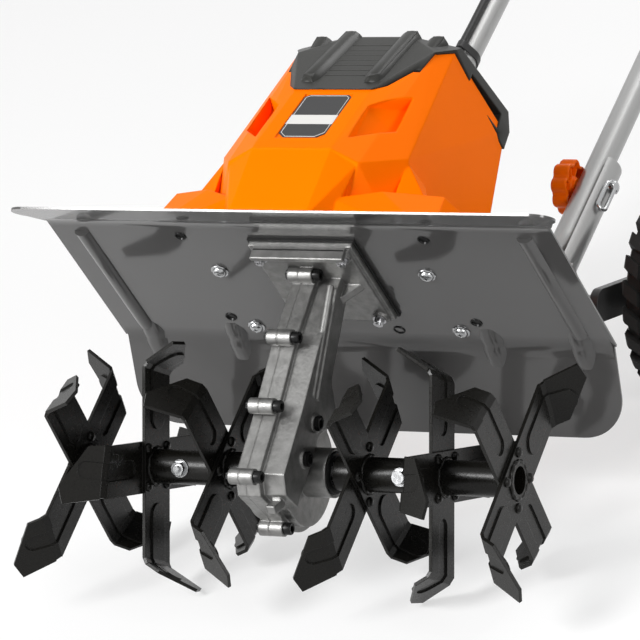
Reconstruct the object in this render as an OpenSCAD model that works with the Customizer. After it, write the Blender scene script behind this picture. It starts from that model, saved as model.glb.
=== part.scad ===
// Electric rotavator, standing on its tines and on its two small transport wheels.
// Left and right are the operator's, who stands behind the machine: left is +X.
// The front of the machine looks to -Y and the floor is Z = 0.

/* [Stance] */
// Nose-up tilt of the working posture when the machine is parked on its wheels, degrees
park_tilt = 22.5; // [20:0.5:25]
// Slope of the tine hood in the working posture, degrees
hood_tilt = 36; // [32:0.5:40]
// Slope of the handle in the working posture, degrees
handle_tilt = 39.6; // [36:0.2:44]

/* [Tines] */
// Width of a tine strip
strip_w = 45; // [38:0.5:50]
// Thickness of a tine strip
strip_t = 3; // [2:0.25:4]
// Distance from the rotor axis to the start of the bend in each strip
bend_at = 82; // [76:0.5:90]
// Length of the knee between strip and tip
knee_len = 5; // [3:0.5:8]
// How far each tip is bent out of the strip, degrees
tip_bend = 60; // [50:1:70]
// How far the bend line runs askew, degrees
bend_skew = 12; // [6:1:16]
// Length of a tip past its bend
tip_len = 35.5; // [30:0.5:40]
// Inner, middle and outer disc, distance from the middle of the machine
disc_in_x = 66; // [62:0.5:70]
disc_mid_x = 138; // [130:0.5:146]
disc_out_x = 204; // [196:0.5:212]
// Width of the bead pressed along each strip
bead_w = 22; // [16:0.5:26]
// Height of that bead
bead_h = 1.5; // [0.8:0.1:2]
// Distance from the rotor axis to the round end of the bead
bead_from = 32; // [29:0.5:38]

/* [Rotor tubes] */
// Outer diameter of the tine tube
tube_d = 30; // [28:0.5:34]
// Diameter of the gearbox output shaft and of the bore of the tine tube
shaft_d = 24; // [20:0.5:25]
// Length of shaft inside each tine tube
shaft_grip = 80; // [60:1:100]
// Gap between gearbox boss and tine tube
tube_gap = 4; // [2:0.5:8]
// How far the tine tube stands past the outer disc
tube_end = 1.5; // [1:0.25:4]

/* [Gearbox] */
// Radius of the case round the worm wheel
case_r = 52; // [46:0.5:56]
// Width of the mounting flange
flange_w = 98; // [90:1:110]
// Depth of the mounting flange
flange_d = 112; // [100:1:120]
// Front edge of the flange, ahead of the rotor axis
flange_front = 110; // [104:1:116]
// Thickness of the cast flange
flange_t = 8; // [6:0.5:12]
// Thickness of the gasket on the flange
gasket_t = 2.5; // [1.5:0.25:4]
// Outer face of the worm column on its cover side and on its plug side
cover_x = 22; // [20:0.5:24]
body_x = 24; // [22:0.5:25]
// Outer face of the case round the worm wheel, on its cover side and on its plug side
wheel_case_x = 30; // [27:0.5:33]
hub_face = 12; // [9:0.5:16]
// Parting face and outer edge of the bolting rim, left of the middle
parting_x = -9; // [-12:0.5:-6]
rim_x = 3; // [0:0.5:6]
// How far the plug side of the case stands back from the rim
rim_step = 5; // [3:0.5:7]
// Diameter of the shaft bosses
boss_d = 43; // [40:0.5:48]
// How far the shaft bosses reach from the middle
boss_x = 37; // [37:0.5:42]
// Running clearance round the shaft
shaft_gap = 0.3; // [0.2:0.05:0.6]

/* [Hood] */
// Height of the hood plate over the rotor axis, square to the plate
hood_n = 165.5; // [158:0.5:172]
// Thickness of the sheet
sheet_t = 2; // [1.5:0.1:3]
// Bend to the front flange, ahead of the rotor axis along the plate
hood_front = 133; // [128:1:138]
// Length of the front flange
flange_len = 46; // [40:1:52]
// Angle of the front flange below the plate, degrees
flange_angle = 22; // [16:1:28]
// Bend to the rear skirt, behind the rotor axis along the plate
hood_bend = 47; // [40:1:54]
// Length of the rear skirt
skirt_len = 87; // [76:1:96]
// Angle of the rear skirt below the plate, degrees
skirt_angle = 34; // [28:1:40]
// Half width of the hood at the front edge and along the plate
hood_half_front = 256; // [250:1:262]
hood_half_rear = 239; // [232:1:244]
// Distance of the rib along each side from the middle
rib_x = 211; // [204:0.5:216]
// Width and depth of that rib
rib_w = 16; // [12:0.5:20]
rib_drop = 5; // [3:0.5:6]
// Corner radius of the front edge and of the skirt
front_corner = 16; // [10:1:24]
skirt_corner = 40; // [26:1:46]

/* [Motor housing] */
// Wall of the plastic housing and of its cap
wall = 3; // [2.5:0.25:4]
// Height of the housing over the hood plate, at its top corners
housing_h = 211; // [202:1:218]
// Half width of the housing at the hood and at the top front corners
housing_half = 89; // [86:0.5:92]
housing_half_top = 71; // [68:0.5:74]
// Half width of the flat front panel
panel_half = 37; // [34:0.5:40]
// Half width of the feet at the front of the housing
foot_half = 141; // [136:1:146]
// Height of those feet
foot_h = 37; // [34:1:40]
// Width and length of the blank seat for a label, and its depth
label_w = 46; // [40:0.5:50]
label_l = 71; // [60:0.5:76]
label_deep = 1.2; // [0.6:0.1:1.6]
// Length and height of the vent slot under each side of the cap
vent_len = 60; // [40:1:70]
vent_h = 16; // [12:0.5:20]
// Height of the ridges on the cap
ridge_h = 12; // [9:0.5:14]
// Radius and height of the motor
motor_r = 48; // [40:1:52]
motor_h = 130; // [110:1:150]

/* [Handle] */
// Outer diameter of the handle tubes
handle_d = 25; // [22:0.5:26]
// Wall of the handle tubes
handle_wall = 1.5; // [1:0.1:2]
// Distance of each handle tube from the middle
handle_x = 95.6; // [92:0.2:100]
// Fold axis of the handle, behind and above the rotor axis in the working posture
pivot_y = 415; // [404:0.5:424]
pivot_z = 236; // [226:0.5:246]
// Length of the lower handle below and above the fold axis
lower_tail = 75; // [66:1:80]
lower_len = 440; // [390:5:490]
// Bend radius of the lower crossbar
tail_r = 30; // [26:1:34]
// Where the upper handle starts and ends, from the fold axis
upper_from = 370; // [330:5:380]
upper_to = 890; // [830:5:950]
// Bend radius at the top of the handle
grip_r = 60; // [50:1:70]
// Outer diameter and length of the foam grip
grip_d = 34; // [30:0.5:38]
grip_len = 100; // [80:1:110]
// Clearance between the handle and what it folds against
fold_gap = 0.3; // [0.2:0.05:0.5]
// Bolt of the handle clamp
clamp_bolt_d = 8; // [6:0.5:10]
// Diameter of the clamp knob
knob_d = 51; // [44:0.5:56]
// Thickness of the clamp knob
knob_t = 16; // [12:0.5:20]
// Diameter of the switch cable
cable_d = 7; // [6:0.5:8]

/* [Frame] */
// Height and width of the frame rails
rail_h = 22; // [20:0.5:24]
rail_w = 12; // [10:0.5:13]
// Bend radius of the rails
rail_r = 70; // [60:1:80]
// Front end of the rails, ahead of the rotor axis along the plate
rail_front = 84; // [76:1:90]
// Diameter of the flattened upper end of each rail
strut_d = 28; // [26:0.5:30]
// How far that end bulges outwards
strut_bulge = 9; // [7:0.5:12]
// Length of the upper end above the fold axis
strut_top = 27; // [20:1:32]
// Thickness of the tabs that hold the rails on the hood
tab_t = 3; // [2:0.25:4]
// Half the length of a tab
tab_half = 12; // [10:0.5:14]
// How far the tabs reach in from the rails
tab_reach = 18; // [14:0.5:18.5]

/* [Wheels] */
// Diameter of the transport wheels
wheel_d = 176; // [166:1:186]
// Width of the wheels
wheel_w = 40; // [34:0.5:46]
// Inner face of the wheels, from the middle
wheel_x = 166.5; // [162:0.5:174]
// Wheel axle behind the rotor axis in the working posture
axle_y = 400; // [392:1:408]
// Height of the tyre over the rim
tyre_h = 20; // [16:0.5:24]
// Diameter of the axle pins
pin_d = 12; // [10:0.5:14]
// Running clearance of the wheels on their pins
pin_gap = 0.3; // [0.2:0.05:0.5]
// Diameter of the cross tube that carries the wheel arms
cross_d = 18; // [16:0.5:20]
// Place of the cross tube along the rails, below the fold axis
cross_at = 135; // [128:1:142]
// Height and thickness of the wheel arms
arm_h = 30; // [26:0.5:34]
arm_t = 8; // [6:0.5:10]
// Inner face of the wheel arms, from the middle
arm_x = 139; // [134:0.5:144]

/* [Hidden] */
$fn = 48;

// How far the flat faces of a bend lap into each other
bend_lap = strip_t * tan(tip_bend / 4);

// The outline of a bent tip: distance from the knee, and place across the strip
tip_points = [
  [-bend_lap, -strip_w / 2],
  [tip_len - 22.5, -strip_w / 2 + 2],
  [tip_len, strip_w / 2 - 6.5],
  [tip_len - 4.5, strip_w / 2 + 8.5],
  [-bend_lap, strip_w / 2 + 1.5]
];

// Where a point of the tip comes to lie: reach from the rotor axis, and place across the strip
function tip_rise(u) = knee_len * cos(tip_bend / 2) + u * cos(tip_bend) + strip_t * sin(tip_bend);
function tip_reach(q) = bend_at + tip_rise(q[0]) * cos(bend_skew) + q[1] * sin(bend_skew);
function tip_side(q) = q[1] * cos(bend_skew) - tip_rise(q[0]) * sin(bend_skew);

// Phase of the outward strip of each disc, from +Y towards +Z in the working posture
phase_in = 135;
phase_mid = 0;
phase_out = 45;

// How deep a tip reaches below the rotor axis, for an arm at an angle in the parked posture
function tip_depth(arm) = max([for (q = tip_points) -tip_reach(q) * sin(arm) - tip_side(q) * cos(arm)]);

// Height of the rotor axis over the floor
axle_z = max([for (k = [0:7]) tip_depth(45 * k - park_tilt)]);

// Rear end of the handle and front end of the tines, from the rotor axis in the parked posture
handle_slope = handle_tilt - park_tilt;
pivot_back = pivot_y * cos(park_tilt) + pivot_z * sin(park_tilt);
rear_y = pivot_back + upper_to * cos(handle_slope) + handle_d / 2;
function tip_front(arm) = max([for (q = tip_points) -tip_reach(q) * cos(arm) + tip_side(q) * sin(arm)]);
front_y = max([for (k = [0:7]) tip_front(45 * k - park_tilt)]);
origin_y = (rear_y - front_y) / 2;

// Rails: the corner where the upright part meets the part on the hood
strut_face = handle_x + handle_d / 2 + fold_gap;
strut_r = (strut_d * strut_d / 4 + strut_bulge * strut_bulge) / (2 * strut_bulge);
rail_n = hood_n + sheet_t + rail_h / 2;
rail_turn = handle_tilt + hood_tilt;
pivot_n = pivot_y * sin(hood_tilt) + pivot_z * cos(hood_tilt);
pivot_v = pivot_y * cos(hood_tilt) - pivot_z * sin(hood_tilt);
corner_s = (rail_n - pivot_n) / sin(rail_turn);
corner_v = pivot_v + corner_s * cos(rail_turn);
rail_tangent = rail_r * tan(rail_turn / 2);
// Middle of the front and of the rear tab along the plate
tab_v = [-59, 29];

// Wheel axle height in the working posture, so that the wheels meet the floor when parked
axle_up = (wheel_d / 2 - axle_z + axle_y * sin(park_tilt)) / cos(park_tilt);

// Cross tube of the wheel arms in the working posture
cross_drop = strut_d / 2 + cross_d / 2;
cross_y = pivot_y - cross_at * cos(handle_tilt) + cross_drop * sin(handle_tilt);
cross_z = pivot_z - cross_at * sin(handle_tilt) - cross_drop * cos(handle_tilt);
arm_len = norm([axle_y - cross_y, axle_up - cross_z]);
arm_rise = atan2(axle_up - cross_z, axle_y - cross_y);

// Placing: the working posture turned about the rotor axis and set on the floor
module parked() translate([0, -origin_y, axle_z]) rotate([-park_tilt, 0, 0]) children();
// Square to the hood plate, from the rotor axis
module on_hood() parked() rotate([-hood_tilt, 0, 0]) children();
// Along the handle, from the fold axis
module on_handle() parked() translate([0, pivot_y, pivot_z]) rotate([handle_tilt, 0, 0]) children();
// A flat outline drawn across the machine: its first axis is Y, its second Z, and it grows along X
module side_plate(from, to) translate([from, 0, 0]) rotate([90, 0, 90]) linear_extrude(to - from) children();
// A round bar along X
module x_bar(d, from, to) translate([from, 0, 0]) rotate([0, 90, 0]) cylinder(d = d, h = to - from);
// A round bar along Y
module y_bar(d, from, to) translate([0, from, 0]) rotate([-90, 0, 0]) cylinder(d = d, h = to - from);

// Tines
// The pressed bead on the flat of a strip, on the knee of its bend and on the tip
module strip_bead(width) {
  half = width / 2;
  end = bend_at + bend_lap / cos(bend_skew);
  translate([bead_from + bead_w / 2, 0]) circle(d = width);
  polygon([
    [bead_from + bead_w / 2, -half], [end - half * tan(bend_skew), -half],
    [end + half * tan(bend_skew), half], [bead_from + bead_w / 2, half]
  ]);
}

module knee_bead(width) translate([-bend_lap, -width / 2]) square([knee_len + 2 * bend_lap, width]);

module tip_bead(width) {
  translate([-bend_lap, -width / 2]) square([tip_len - 22 + bend_lap, width]);
  translate([tip_len - 22, 0]) circle(d = width);
}

// Moves a child from the flat of the strip to the knee of its bend, and on to the tip
module fold(along) translate([strip_t, along, 0]) rotate([0, 0, -tip_bend / 2]) translate([-strip_t, 0, 0]) children();
module at_knee() translate([0, bend_at, 0]) rotate([-bend_skew, 0, 0]) fold(0) children();
module at_tip() at_knee() fold(knee_len) children();

// The beads of one arm as solids between two heights over the back of the strip
module arm_beads(from, to, width) {
  side_plate(from, to) strip_bead(width);
  at_knee() side_plate(from, to) knee_bead(width - 0.2 * strip_t);
  at_tip() side_plate(from, to) tip_bead(width - 0.4 * strip_t);
}

// A strip with an arm to both sides of the hub and both tips bent towards +X
module tine_strip() {
  skew = strip_w / 2 * tan(bend_skew);
  end = bend_at + bend_lap / cos(bend_skew);
  knee_half = strip_w / 2 + 0.1 * strip_t;
  difference() {
    union() {
      side_plate(0, strip_t) polygon([
        [end - skew, -strip_w / 2], [end + skew, strip_w / 2],
        [skew - end, strip_w / 2], [-end - skew, -strip_w / 2]
      ]);
      for (half = [0, 180]) rotate([half, 0, 0]) {
        at_knee() side_plate(0, strip_t)
          translate([-bend_lap, -knee_half]) square([knee_len + 2 * bend_lap, 2 * knee_half]);
        at_tip() side_plate(0, strip_t) polygon(tip_points);
        arm_beads(strip_t * 0.7, strip_t + bead_h, bead_w);
      }
    }
    for (half = [0, 180]) rotate([half, 0, 0]) arm_beads(-strip_t, bead_h, bead_w - 2 * strip_t);
  }
}

// Two crossed strips: one with both tips bent outwards, the other with both bent inwards
module tine_disc(at, phase) color("#1d1b1a")
  translate([at, 0, 0])
  difference() {
    union() {
      rotate([phase, 0, 0]) tine_strip();
      rotate([phase + 90, 0, 0]) mirror([1, 0, 0]) tine_strip();
    }
    x_bar(tube_d, -2 * strip_t, 2 * strip_t);
  }

module tine_disc_left_inner() parked() tine_disc(disc_in_x, phase_in);
module tine_disc_left_middle() parked() tine_disc(disc_mid_x, phase_mid);
module tine_disc_left_outer() parked() tine_disc(disc_out_x, phase_out);
module tine_disc_right_inner() parked() mirror([1, 0, 0]) tine_disc(disc_in_x, phase_in);
module tine_disc_right_middle() parked() mirror([1, 0, 0]) tine_disc(disc_mid_x, phase_mid);
module tine_disc_right_outer() parked() mirror([1, 0, 0]) tine_disc(disc_out_x, phase_out);

module tine_tube() color("#1d1b1a")
  difference() {
    x_bar(tube_d, boss_x + tube_gap, disc_out_x + strip_t + tube_end);
    x_bar(shaft_d, boss_x, disc_out_x + strip_t + tube_end + 1);
  }

module tine_tube_left() parked() tine_tube();
module tine_tube_right() parked() mirror([1, 0, 0]) tine_tube();

module output_shaft() color("#8f9194")
  parked() x_bar(shaft_d, -boss_x - tube_gap - shaft_grip, boss_x + tube_gap + shaft_grip);

// Gearbox
case_top = hood_n - gasket_t;

// Side outline of the case: the worm column in front, the worm wheel below
column_front = 38 - flange_front;
column_back = 65 - flange_front;
module case_outline(step) {
  circle(r = case_r - step);
  polygon([
    [column_front + step, case_top - flange_t / 2],
    [column_front - 2 + step, 1.63 * case_r],
    [column_front + 4 + step, 0.37 * case_r],
    [column_front + 6 + step, -0.87 * case_r + step],
    [column_front + 20 + step, -1.1 * case_r + step],
    [0, -0.96 * case_r + step],
    [case_r * 0.76, case_r * 0.6 - step],
    [column_back + 19 - step, case_r * 1.4],
    [column_back - step, case_top - flange_t / 2]
  ]);
}

// The places of the case bolts
bolt_places = [
  [column_front - 5.5, case_top - 1.55 * flange_t], [column_front - 8, 1.63 * case_r], [column_front - 2.5, 0.36 * case_r],
  [column_front + 1, -0.95 * case_r], [0.06 * case_r, -1.06 * case_r], [0.85 * case_r, 0.62 * case_r]
];
bolt_boss_d = 14;
module case_bosses(from, to) for (q = bolt_places) translate([0, q[0], q[1]]) x_bar(bolt_boss_d, from, to);

// Half-round pockets for the bolt heads
module bolt_pockets() for (q = bolt_places) translate([0, q[0], q[1]]) x_bar(bolt_boss_d + 3, rim_x, rim_x + bolt_boss_d);

module gearbox_gasket() color("#1a1a1a")
  on_hood() translate([-flange_w / 2 - 2, -flange_front - 2, case_top]) cube([flange_w + 4, flange_d + 4, gasket_t]);

module gearbox_body() color("#9a9b9d")
  on_hood() difference() {
    union() {
      difference() {
        union() {
          side_plate(rim_x, body_x) difference() {
            case_outline(rim_step);
            polygon([
              [-boss_d / 2 - 1, -2 * case_r], [-boss_d / 2 - 1, 0.45 * case_r], [0, case_r],
              [2 * case_r, case_r], [2 * case_r, -2 * case_r]
            ]);
          }
          side_plate(rim_x, hub_face) case_outline(rim_step);
        }
        bolt_pockets();
      }
      side_plate(parting_x, rim_x + 0.5) case_outline(0);
      case_bosses(parting_x, rim_x + 0.7);
      // Flange with a bevelled lower layer and pads for its screws
      translate([-flange_w / 2, -flange_front, case_top - flange_t * 0.6]) cube([flange_w, flange_d, flange_t * 0.6]);
      translate([-flange_w / 2 + 3, -flange_front + 3, case_top - flange_t]) cube([flange_w - 6, flange_d - 6, flange_t]);
      translate([-flange_w / 2 + 5, -flange_front, case_top - 2.2 * flange_t]) cube([flange_w - 10, 4.5, 2.2 * flange_t]);
      for (side = [-1, 1]) for (v = [10, flange_d - 10])
        translate([side * (flange_w / 2 - 10), v - flange_front, case_top - flange_t - 3]) cylinder(d = bolt_boss_d, h = flange_t);
      // Web between flange and column
      translate([rim_x, column_front + 14, case_top - flange_t / 2]) rotate([-90, 0, 0])
        linear_extrude(flange_t) polygon([[0, 0], [flange_w / 2 - 8, 0], [body_x - rim_x - 2, 2.6 * flange_t], [0, 6 * flange_t]]);
      // Long ribs on the side of the column
      for (k = [0, 1]) translate([body_x, 0, 0]) rotate([14, 0, 0])
        translate([-2, column_back + 13 - 8 * k, 1.05 * case_r]) cylinder(d = 6, h = case_top - flange_t - 1.05 * case_r);
      // Seats of the two plugs
      for (n = [0.52 * case_r, -0.17 * case_r]) translate([0, -0.69 * case_r, n]) x_bar(17, body_x - rim_step, body_x + 2);
      // Hook lug at the lower front
      side_plate(rim_x + 6, rim_x + 14) polygon([
        [-1.1 * case_r, -0.6 * case_r], [-0.7 * case_r, -0.6 * case_r], [-0.6 * case_r, -1.05 * case_r],
        [-0.8 * case_r, -1.3 * case_r], [-0.94 * case_r, -1.24 * case_r], [-0.8 * case_r, -1.05 * case_r]
      ]);
      x_bar(boss_d, 0, boss_x);
    }
    x_bar(shaft_d + 2 * shaft_gap, parting_x - 1, boss_x + 1);
    translate([-flange_w, -2 * flange_front, case_top]) cube([2 * flange_w, 3 * flange_front, flange_t]);
  }

module gearbox_cover() color("#9a9b9d")
  on_hood() difference() {
    union() {
      side_plate(-cover_x, parting_x) case_outline(1.6 * rim_step);
      side_plate(parting_x - 9, parting_x) case_outline(0);
      case_bosses(parting_x - 10, parting_x);
      x_bar(2 * (case_r - 2 * rim_step), -wheel_case_x, parting_x);
      x_bar(boss_d, -boss_x, parting_x);
    }
    x_bar(shaft_d + 2 * shaft_gap, -boss_x - 1, parting_x + 1);
    translate([-flange_w, -2 * flange_front, case_top - flange_t]) cube([2 * flange_w, 3 * flange_front, 2 * flange_t]);
  }

// Hood
// How far the sheets lap at a bend of the hood, without standing over the plate
bend_over = 0.9 * sheet_t * tan(min(flange_angle, skirt_angle) / 2);
// Reach of the gussets in the rear bend
gusset = 1.3 * rib_w;

// An outline with two round corners at its far end
module round_end(near_half, far_half, len, r) {
  polygon([[-near_half, -bend_over], [near_half, -bend_over], [far_half, len - r], [-far_half, len - r]]);
  translate([-far_half + r, 0]) square([2 * (far_half - r), len]);
  for (side = [-1, 1]) translate([side * (far_half - r), len - r]) circle(r = r);
}

// A rounded bar under the sheet along the machine, and the groove above it
module side_ribs(d, up, from, to) for (side = [-1, 1]) translate([side * rib_x, 0, up]) y_bar(d, from, to);
rib_up = rib_w / 2 - rib_drop;

module hood_sheets() {
  // Plate
  translate([0, -hood_front - bend_over, hood_n]) linear_extrude(sheet_t)
    translate([-hood_half_rear, 0]) square([2 * hood_half_rear, hood_front + hood_bend + 2 * bend_over]);
  // Front flange
  translate([0, -hood_front, hood_n]) rotate([flange_angle, 0, 0]) mirror([0, 1, 0]) linear_extrude(sheet_t)
    round_end(hood_half_rear + sheet_t, hood_half_front, flange_len, front_corner);
  // Rear skirt
  translate([0, hood_bend, hood_n]) rotate([-skirt_angle, 0, 0]) linear_extrude(sheet_t)
    round_end(hood_half_rear - sheet_t, hood_half_rear - sheet_t, skirt_len, skirt_corner);
  // Ribs along both sides, and gussets in the rear bend
  translate([0, 0, hood_n]) intersection() {
    side_ribs(rib_w, rib_up, -hood_front + rib_w, hood_bend - rib_w);
    translate([-hood_half_rear, -hood_front, -rib_w]) cube([2 * hood_half_rear, hood_front + hood_bend, rib_w + sheet_t * 0.7]);
  }
  for (side = [-1, 1]) for (x = [0.52, 0.87])
    translate([side * x * hood_half_rear, hood_bend, hood_n + sheet_t / 4]) side_plate(-rib_w / 3, rib_w / 3)
      polygon([[-gusset, 0], [0, 0], [gusset * cos(skirt_angle), -gusset * sin(skirt_angle)]]);
}

module hood() color("#4b4a48")
  on_hood() difference() {
    hood_sheets();
    translate([0, 0, hood_n]) side_ribs(rib_w - 2 * sheet_t, rib_up + sheet_t, -hood_front + rib_w + sheet_t, hood_bend - rib_w - sheet_t);
    for (side = [-1, 1]) for (q = [[116, -112], [119, 14.5]])
      translate([side * q[0], q[1], hood_n - 1]) cylinder(d = 10, h = sheet_t + 2);
  }

// Motor housing
plate_n = hood_n + sheet_t;
module motor_block() color("#6d6f72")
  on_hood() translate([0, -54, plate_n + 2 * wall]) cylinder(r = motor_r, h = motor_h);

// Corners of the housing on its left side: across, along the plate, and over the plate
top_h = housing_h;
panel_low = 50;
function body_corners(i) = [
  [panel_half - 1 - i, -134.5 + i, 0.66 * housing_h - i], [panel_half + 24.5 - i, -113 + i, 0.775 * housing_h - i],
  [housing_half_top - 6 - i, -98.5 + i, top_h - 7 - i], [housing_half_top + 5 - i, -83 + i, top_h + 5 - i],
  [housing_half - 1 - i, 21 - i, top_h - 6 - i],
  [housing_half - 1 - i, 26 - i, top_h - 18 - i], [housing_half - i, 39 - i, 0.6 * housing_h - i],
  [housing_half + 1 - i, 62 - i, -i], [panel_half - i, -172 + i, panel_low - i],
  [panel_half + 25 - i, -162 + i, panel_low - 8 - i], [housing_half - 0.5 - i, -128 + i, panel_low + 20 - i],
  [panel_half + 18 - i, -146 + i, -i], [housing_half - 2 - i, -104 + i, -i]
];
module between(list) hull() polyhedron(points = list, faces = [[for (k = [0:len(list) - 1]) k]]);
module both_sides(list) between(concat(list, [for (q = list) [-q[0], q[1], q[2]]]));
module one_side(side, list) between([for (q = list) [side * q[0], q[1], q[2]]]);

module housing_body(inset) translate([0, 0, plate_n]) both_sides(body_corners(inset));

// Lower front panel, and the feet that spread to both sides of it
module housing_front() translate([0, 0, plate_n]) {
  both_sides([
    [panel_half + 0.3, -171.2, panel_low + 1], [panel_half - 1, -178, -26], [panel_half + 24, -160.5, panel_low - 7],
    [panel_half + 12, -160, -26], [panel_half, -120, panel_low], [panel_half, -120, -26]
  ]);
  for (side = [-1, 1]) one_side(side, [
    [panel_half + 10, -164, 4], [panel_half + 10, -160, -18], [housing_half - 6, -146, foot_h - 13], [foot_half - 13, -120, foot_h],
    [foot_half, -105, foot_h - 7], [foot_half + 4, -104, -18], [foot_half - 4, -140, -18],
    [foot_half - 18, -74, foot_h - 12], [foot_half - 12, -66, -18], [housing_half - 4, -52, foot_h + 8],
    [housing_half - 4, -100, foot_h + 10], [housing_half - 4, -48, -18], [panel_half + 10, -120, -18]
  ]);
  // Flare from the side of the housing down to the foot
  for (side = [-1, 1]) one_side(side, [
    [housing_half - 2, -126, panel_low + 19], [housing_half + 11, -117, foot_h + 7], [housing_half - 3, -129, foot_h - 7],
    [housing_half + 24, -116, foot_h - 6], [housing_half - 3, -84, panel_low + 24], [housing_half + 6, -80, foot_h + 6],
    [housing_half - 4, -80, foot_h - 20]
  ]);
}

// Room for the rails and their front tabs, which run below the feet
module rail_channels() for (side = [0, 1]) mirror([side, 0, 0]) {
  translate([strut_face - fold_gap, -rail_front - fold_gap, plate_n - rail_h])
    cube([rail_w + 2 * fold_gap, 2 * rail_front, 2 * rail_h + fold_gap]);
  translate([strut_face - tab_reach - fold_gap, tab_v[0] - tab_half - fold_gap, plate_n - rail_h])
    cube([tab_reach + rail_w, 2 * (tab_half + fold_gap), rail_h + tab_t + fold_gap]);
}

// Recessed pockets beside the front panel and a blank seat for a label
pocket = [
  [panel_half + 6, -150, 115], [panel_half + 33, -124, 145], [panel_half + 35.8, -139, 94], [panel_half + 6, -170, 66],
  [panel_half + 6, -138.5, 116], [panel_half + 30, -109, 134], [panel_half + 30, -119, 96], [panel_half + 8, -153, 72]
];
pocket_back = [for (q = pocket) for (x = [-wall, wall]) for (n = [-wall, wall]) q + [x, wall, n]];
front_slope = atan2(37.5, 0.66 * housing_h - panel_low);
module housing_pockets() translate([0, 0, plate_n]) {
  for (side = [-1, 1]) one_side(side, pocket);
  translate([0, -134.5, 0.66 * housing_h]) rotate([-front_slope, 0, 0])
    translate([-label_w / 2, label_deep - 2 * label_w, -label_l - 3 * wall]) cube([label_w, 2 * label_w, label_l]);
}

// What the housing stands on: all below the plate and its front flange
module below_hood() intersection() {
  translate([-2 * foot_half, -3 * hood_front, plate_n - hood_front]) cube([4 * foot_half, 5 * hood_front, hood_front]);
  translate([0, -hood_front, hood_n]) rotate([flange_angle, 0, 0])
    translate([-2 * foot_half, -2 * hood_front, -2 * hood_front]) cube([4 * foot_half, 5 * hood_front, 2 * hood_front + sheet_t]);
}

module motor_housing() color("#ff8214")
  on_hood() difference() {
    union() {
      housing_body(0);
      housing_front();
    }
    difference() {
      housing_body(wall);
      translate([0, 0, plate_n]) for (side = [-1, 1]) one_side(side, pocket_back);
    }
    housing_pockets();
    rail_channels();
    below_hood();
  }

// Cap: a rim round the top of the housing, four ridges on its front slope and a deep band at the rear
module cap_form() translate([0, 0, plate_n]) {
  rise = top_h + 4;
  crest = rise + ridge_h;
  low_edge = [
    [panel_half, -136.5, 0.66 * housing_h - 2], [panel_half + 25.5, -115, 0.775 * housing_h - 2],
    [housing_half_top - 4.5, -100.5, top_h - 8]
  ];
  dome = [[59, -82, crest - 1], [31, -84, crest + 5], [31, 6, crest + 3], [59, 6, crest - 3]];
  both_sides(concat(low_edge, dome));
  both_sides(concat([low_edge[2]], dome, [
    [housing_half_top + 6.5, -85, top_h + 6], [housing_half_top + 7, -78, top_h + 13], [housing_half - 1, 19, top_h + 14],
    [housing_half + 1, 28, top_h - 2], [housing_half + 1, 27, top_h - 21]
  ]));
  for (side = [-1, 1]) for (q = [[30, 33, 0], [57, 54, -6]])
    one_side(side, [
      [q[0] - 5, -86, crest + 10 + q[2]], [q[0] + 5, -86, crest + 10 + q[2]],
      [q[0] - 9, -81, rise], [q[0] + 9, -81, rise],
      [q[1] - 9, -129.5 + (q[1] - 33) * 0.75, 0.7 * housing_h], [q[1] + 6, -127 + (q[1] - 33) * 0.75, 0.72 * housing_h],
      [q[1] - 6, -132 + (q[1] - 33) * 0.75, 0.73 * housing_h], [q[1] + 3, -130 + (q[1] - 33) * 0.75, 0.75 * housing_h],
      [q[0] - 5, 4, crest + 8 + q[2]], [q[0] + 5, 4, crest + 8 + q[2]],
      [q[0] - 9, 14, rise], [q[0] + 9, 14, rise]
    ]);
}

module top_cap() color("#454543")
  on_hood() difference() {
    cap_form();
    housing_body(0);
    // Vent slot between band and housing
    for (side = [0, 1]) mirror([side, 0, 0])
      translate([panel_half, 8 - vent_len, plate_n + top_h + 4 - vent_h]) cube([housing_half, vent_len, vent_h]);
  }

// Frame
// Points on an arc about a centre
function arc(centre, r, from, to, steps) =
  [for (k = [0:steps]) let (a = from + (to - from) * k / steps) centre + r * [cos(a), sin(a)]];

// Side outline of a rail: up along the handle, round the bend and forward on the hood
module rail_outline() {
  centre = [corner_s + rail_tangent, rail_r];
  ahead = [cos(180 - rail_turn), sin(180 - rail_turn)];
  across = [ahead[1], -ahead[0]];
  tip = [corner_s, 0] + (corner_v + rail_front) * ahead;
  half = rail_h / 2;
  polygon(concat(
    [[-cross_at + cross_d, -half]],
    arc(centre, rail_r + half, -90, -90 - rail_turn, 12),
    [tip - half * across, tip + half * across],
    arc(centre, rail_r - half, -90 - rail_turn, -90, 12),
    [[-cross_at + cross_d, half]]
  ));
}

module frame_rail() color("#a9abad") {
  difference() {
    union() {
      // Half-round upper end beside the handle
      translate([strut_face, 0, 0]) intersection() {
        translate([strut_bulge - strut_r, 0, 0]) y_bar(2 * strut_r, -cross_at - rail_h, strut_top);
        translate([0, -2 * cross_at, -strut_d]) cube([strut_d, 3 * cross_at, 2 * strut_d]);
      }
      side_plate(strut_face, strut_face + rail_w) rail_outline();
      // Tabs under the rail, held by the hood screws
      for (v = tab_v)
        translate([strut_face, corner_s, 0])
          rotate([90 - rail_turn, 0, 0])
          translate([-tab_reach, -rail_h / 2, corner_v - v - tab_half])
          cube([tab_reach + rail_w / 2, tab_t, 2 * tab_half]);
    }
    x_bar(clamp_bolt_d, 0, 200);
  }
}

module frame_rail_left() on_handle() frame_rail();
module frame_rail_right() on_handle() mirror([1, 0, 0]) frame_rail();

module wheel_cross_tube() color("#a9abad")
  parked() translate([0, cross_y, cross_z]) x_bar(cross_d, -arm_x - arm_t / 2, arm_x + arm_t / 2);

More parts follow.
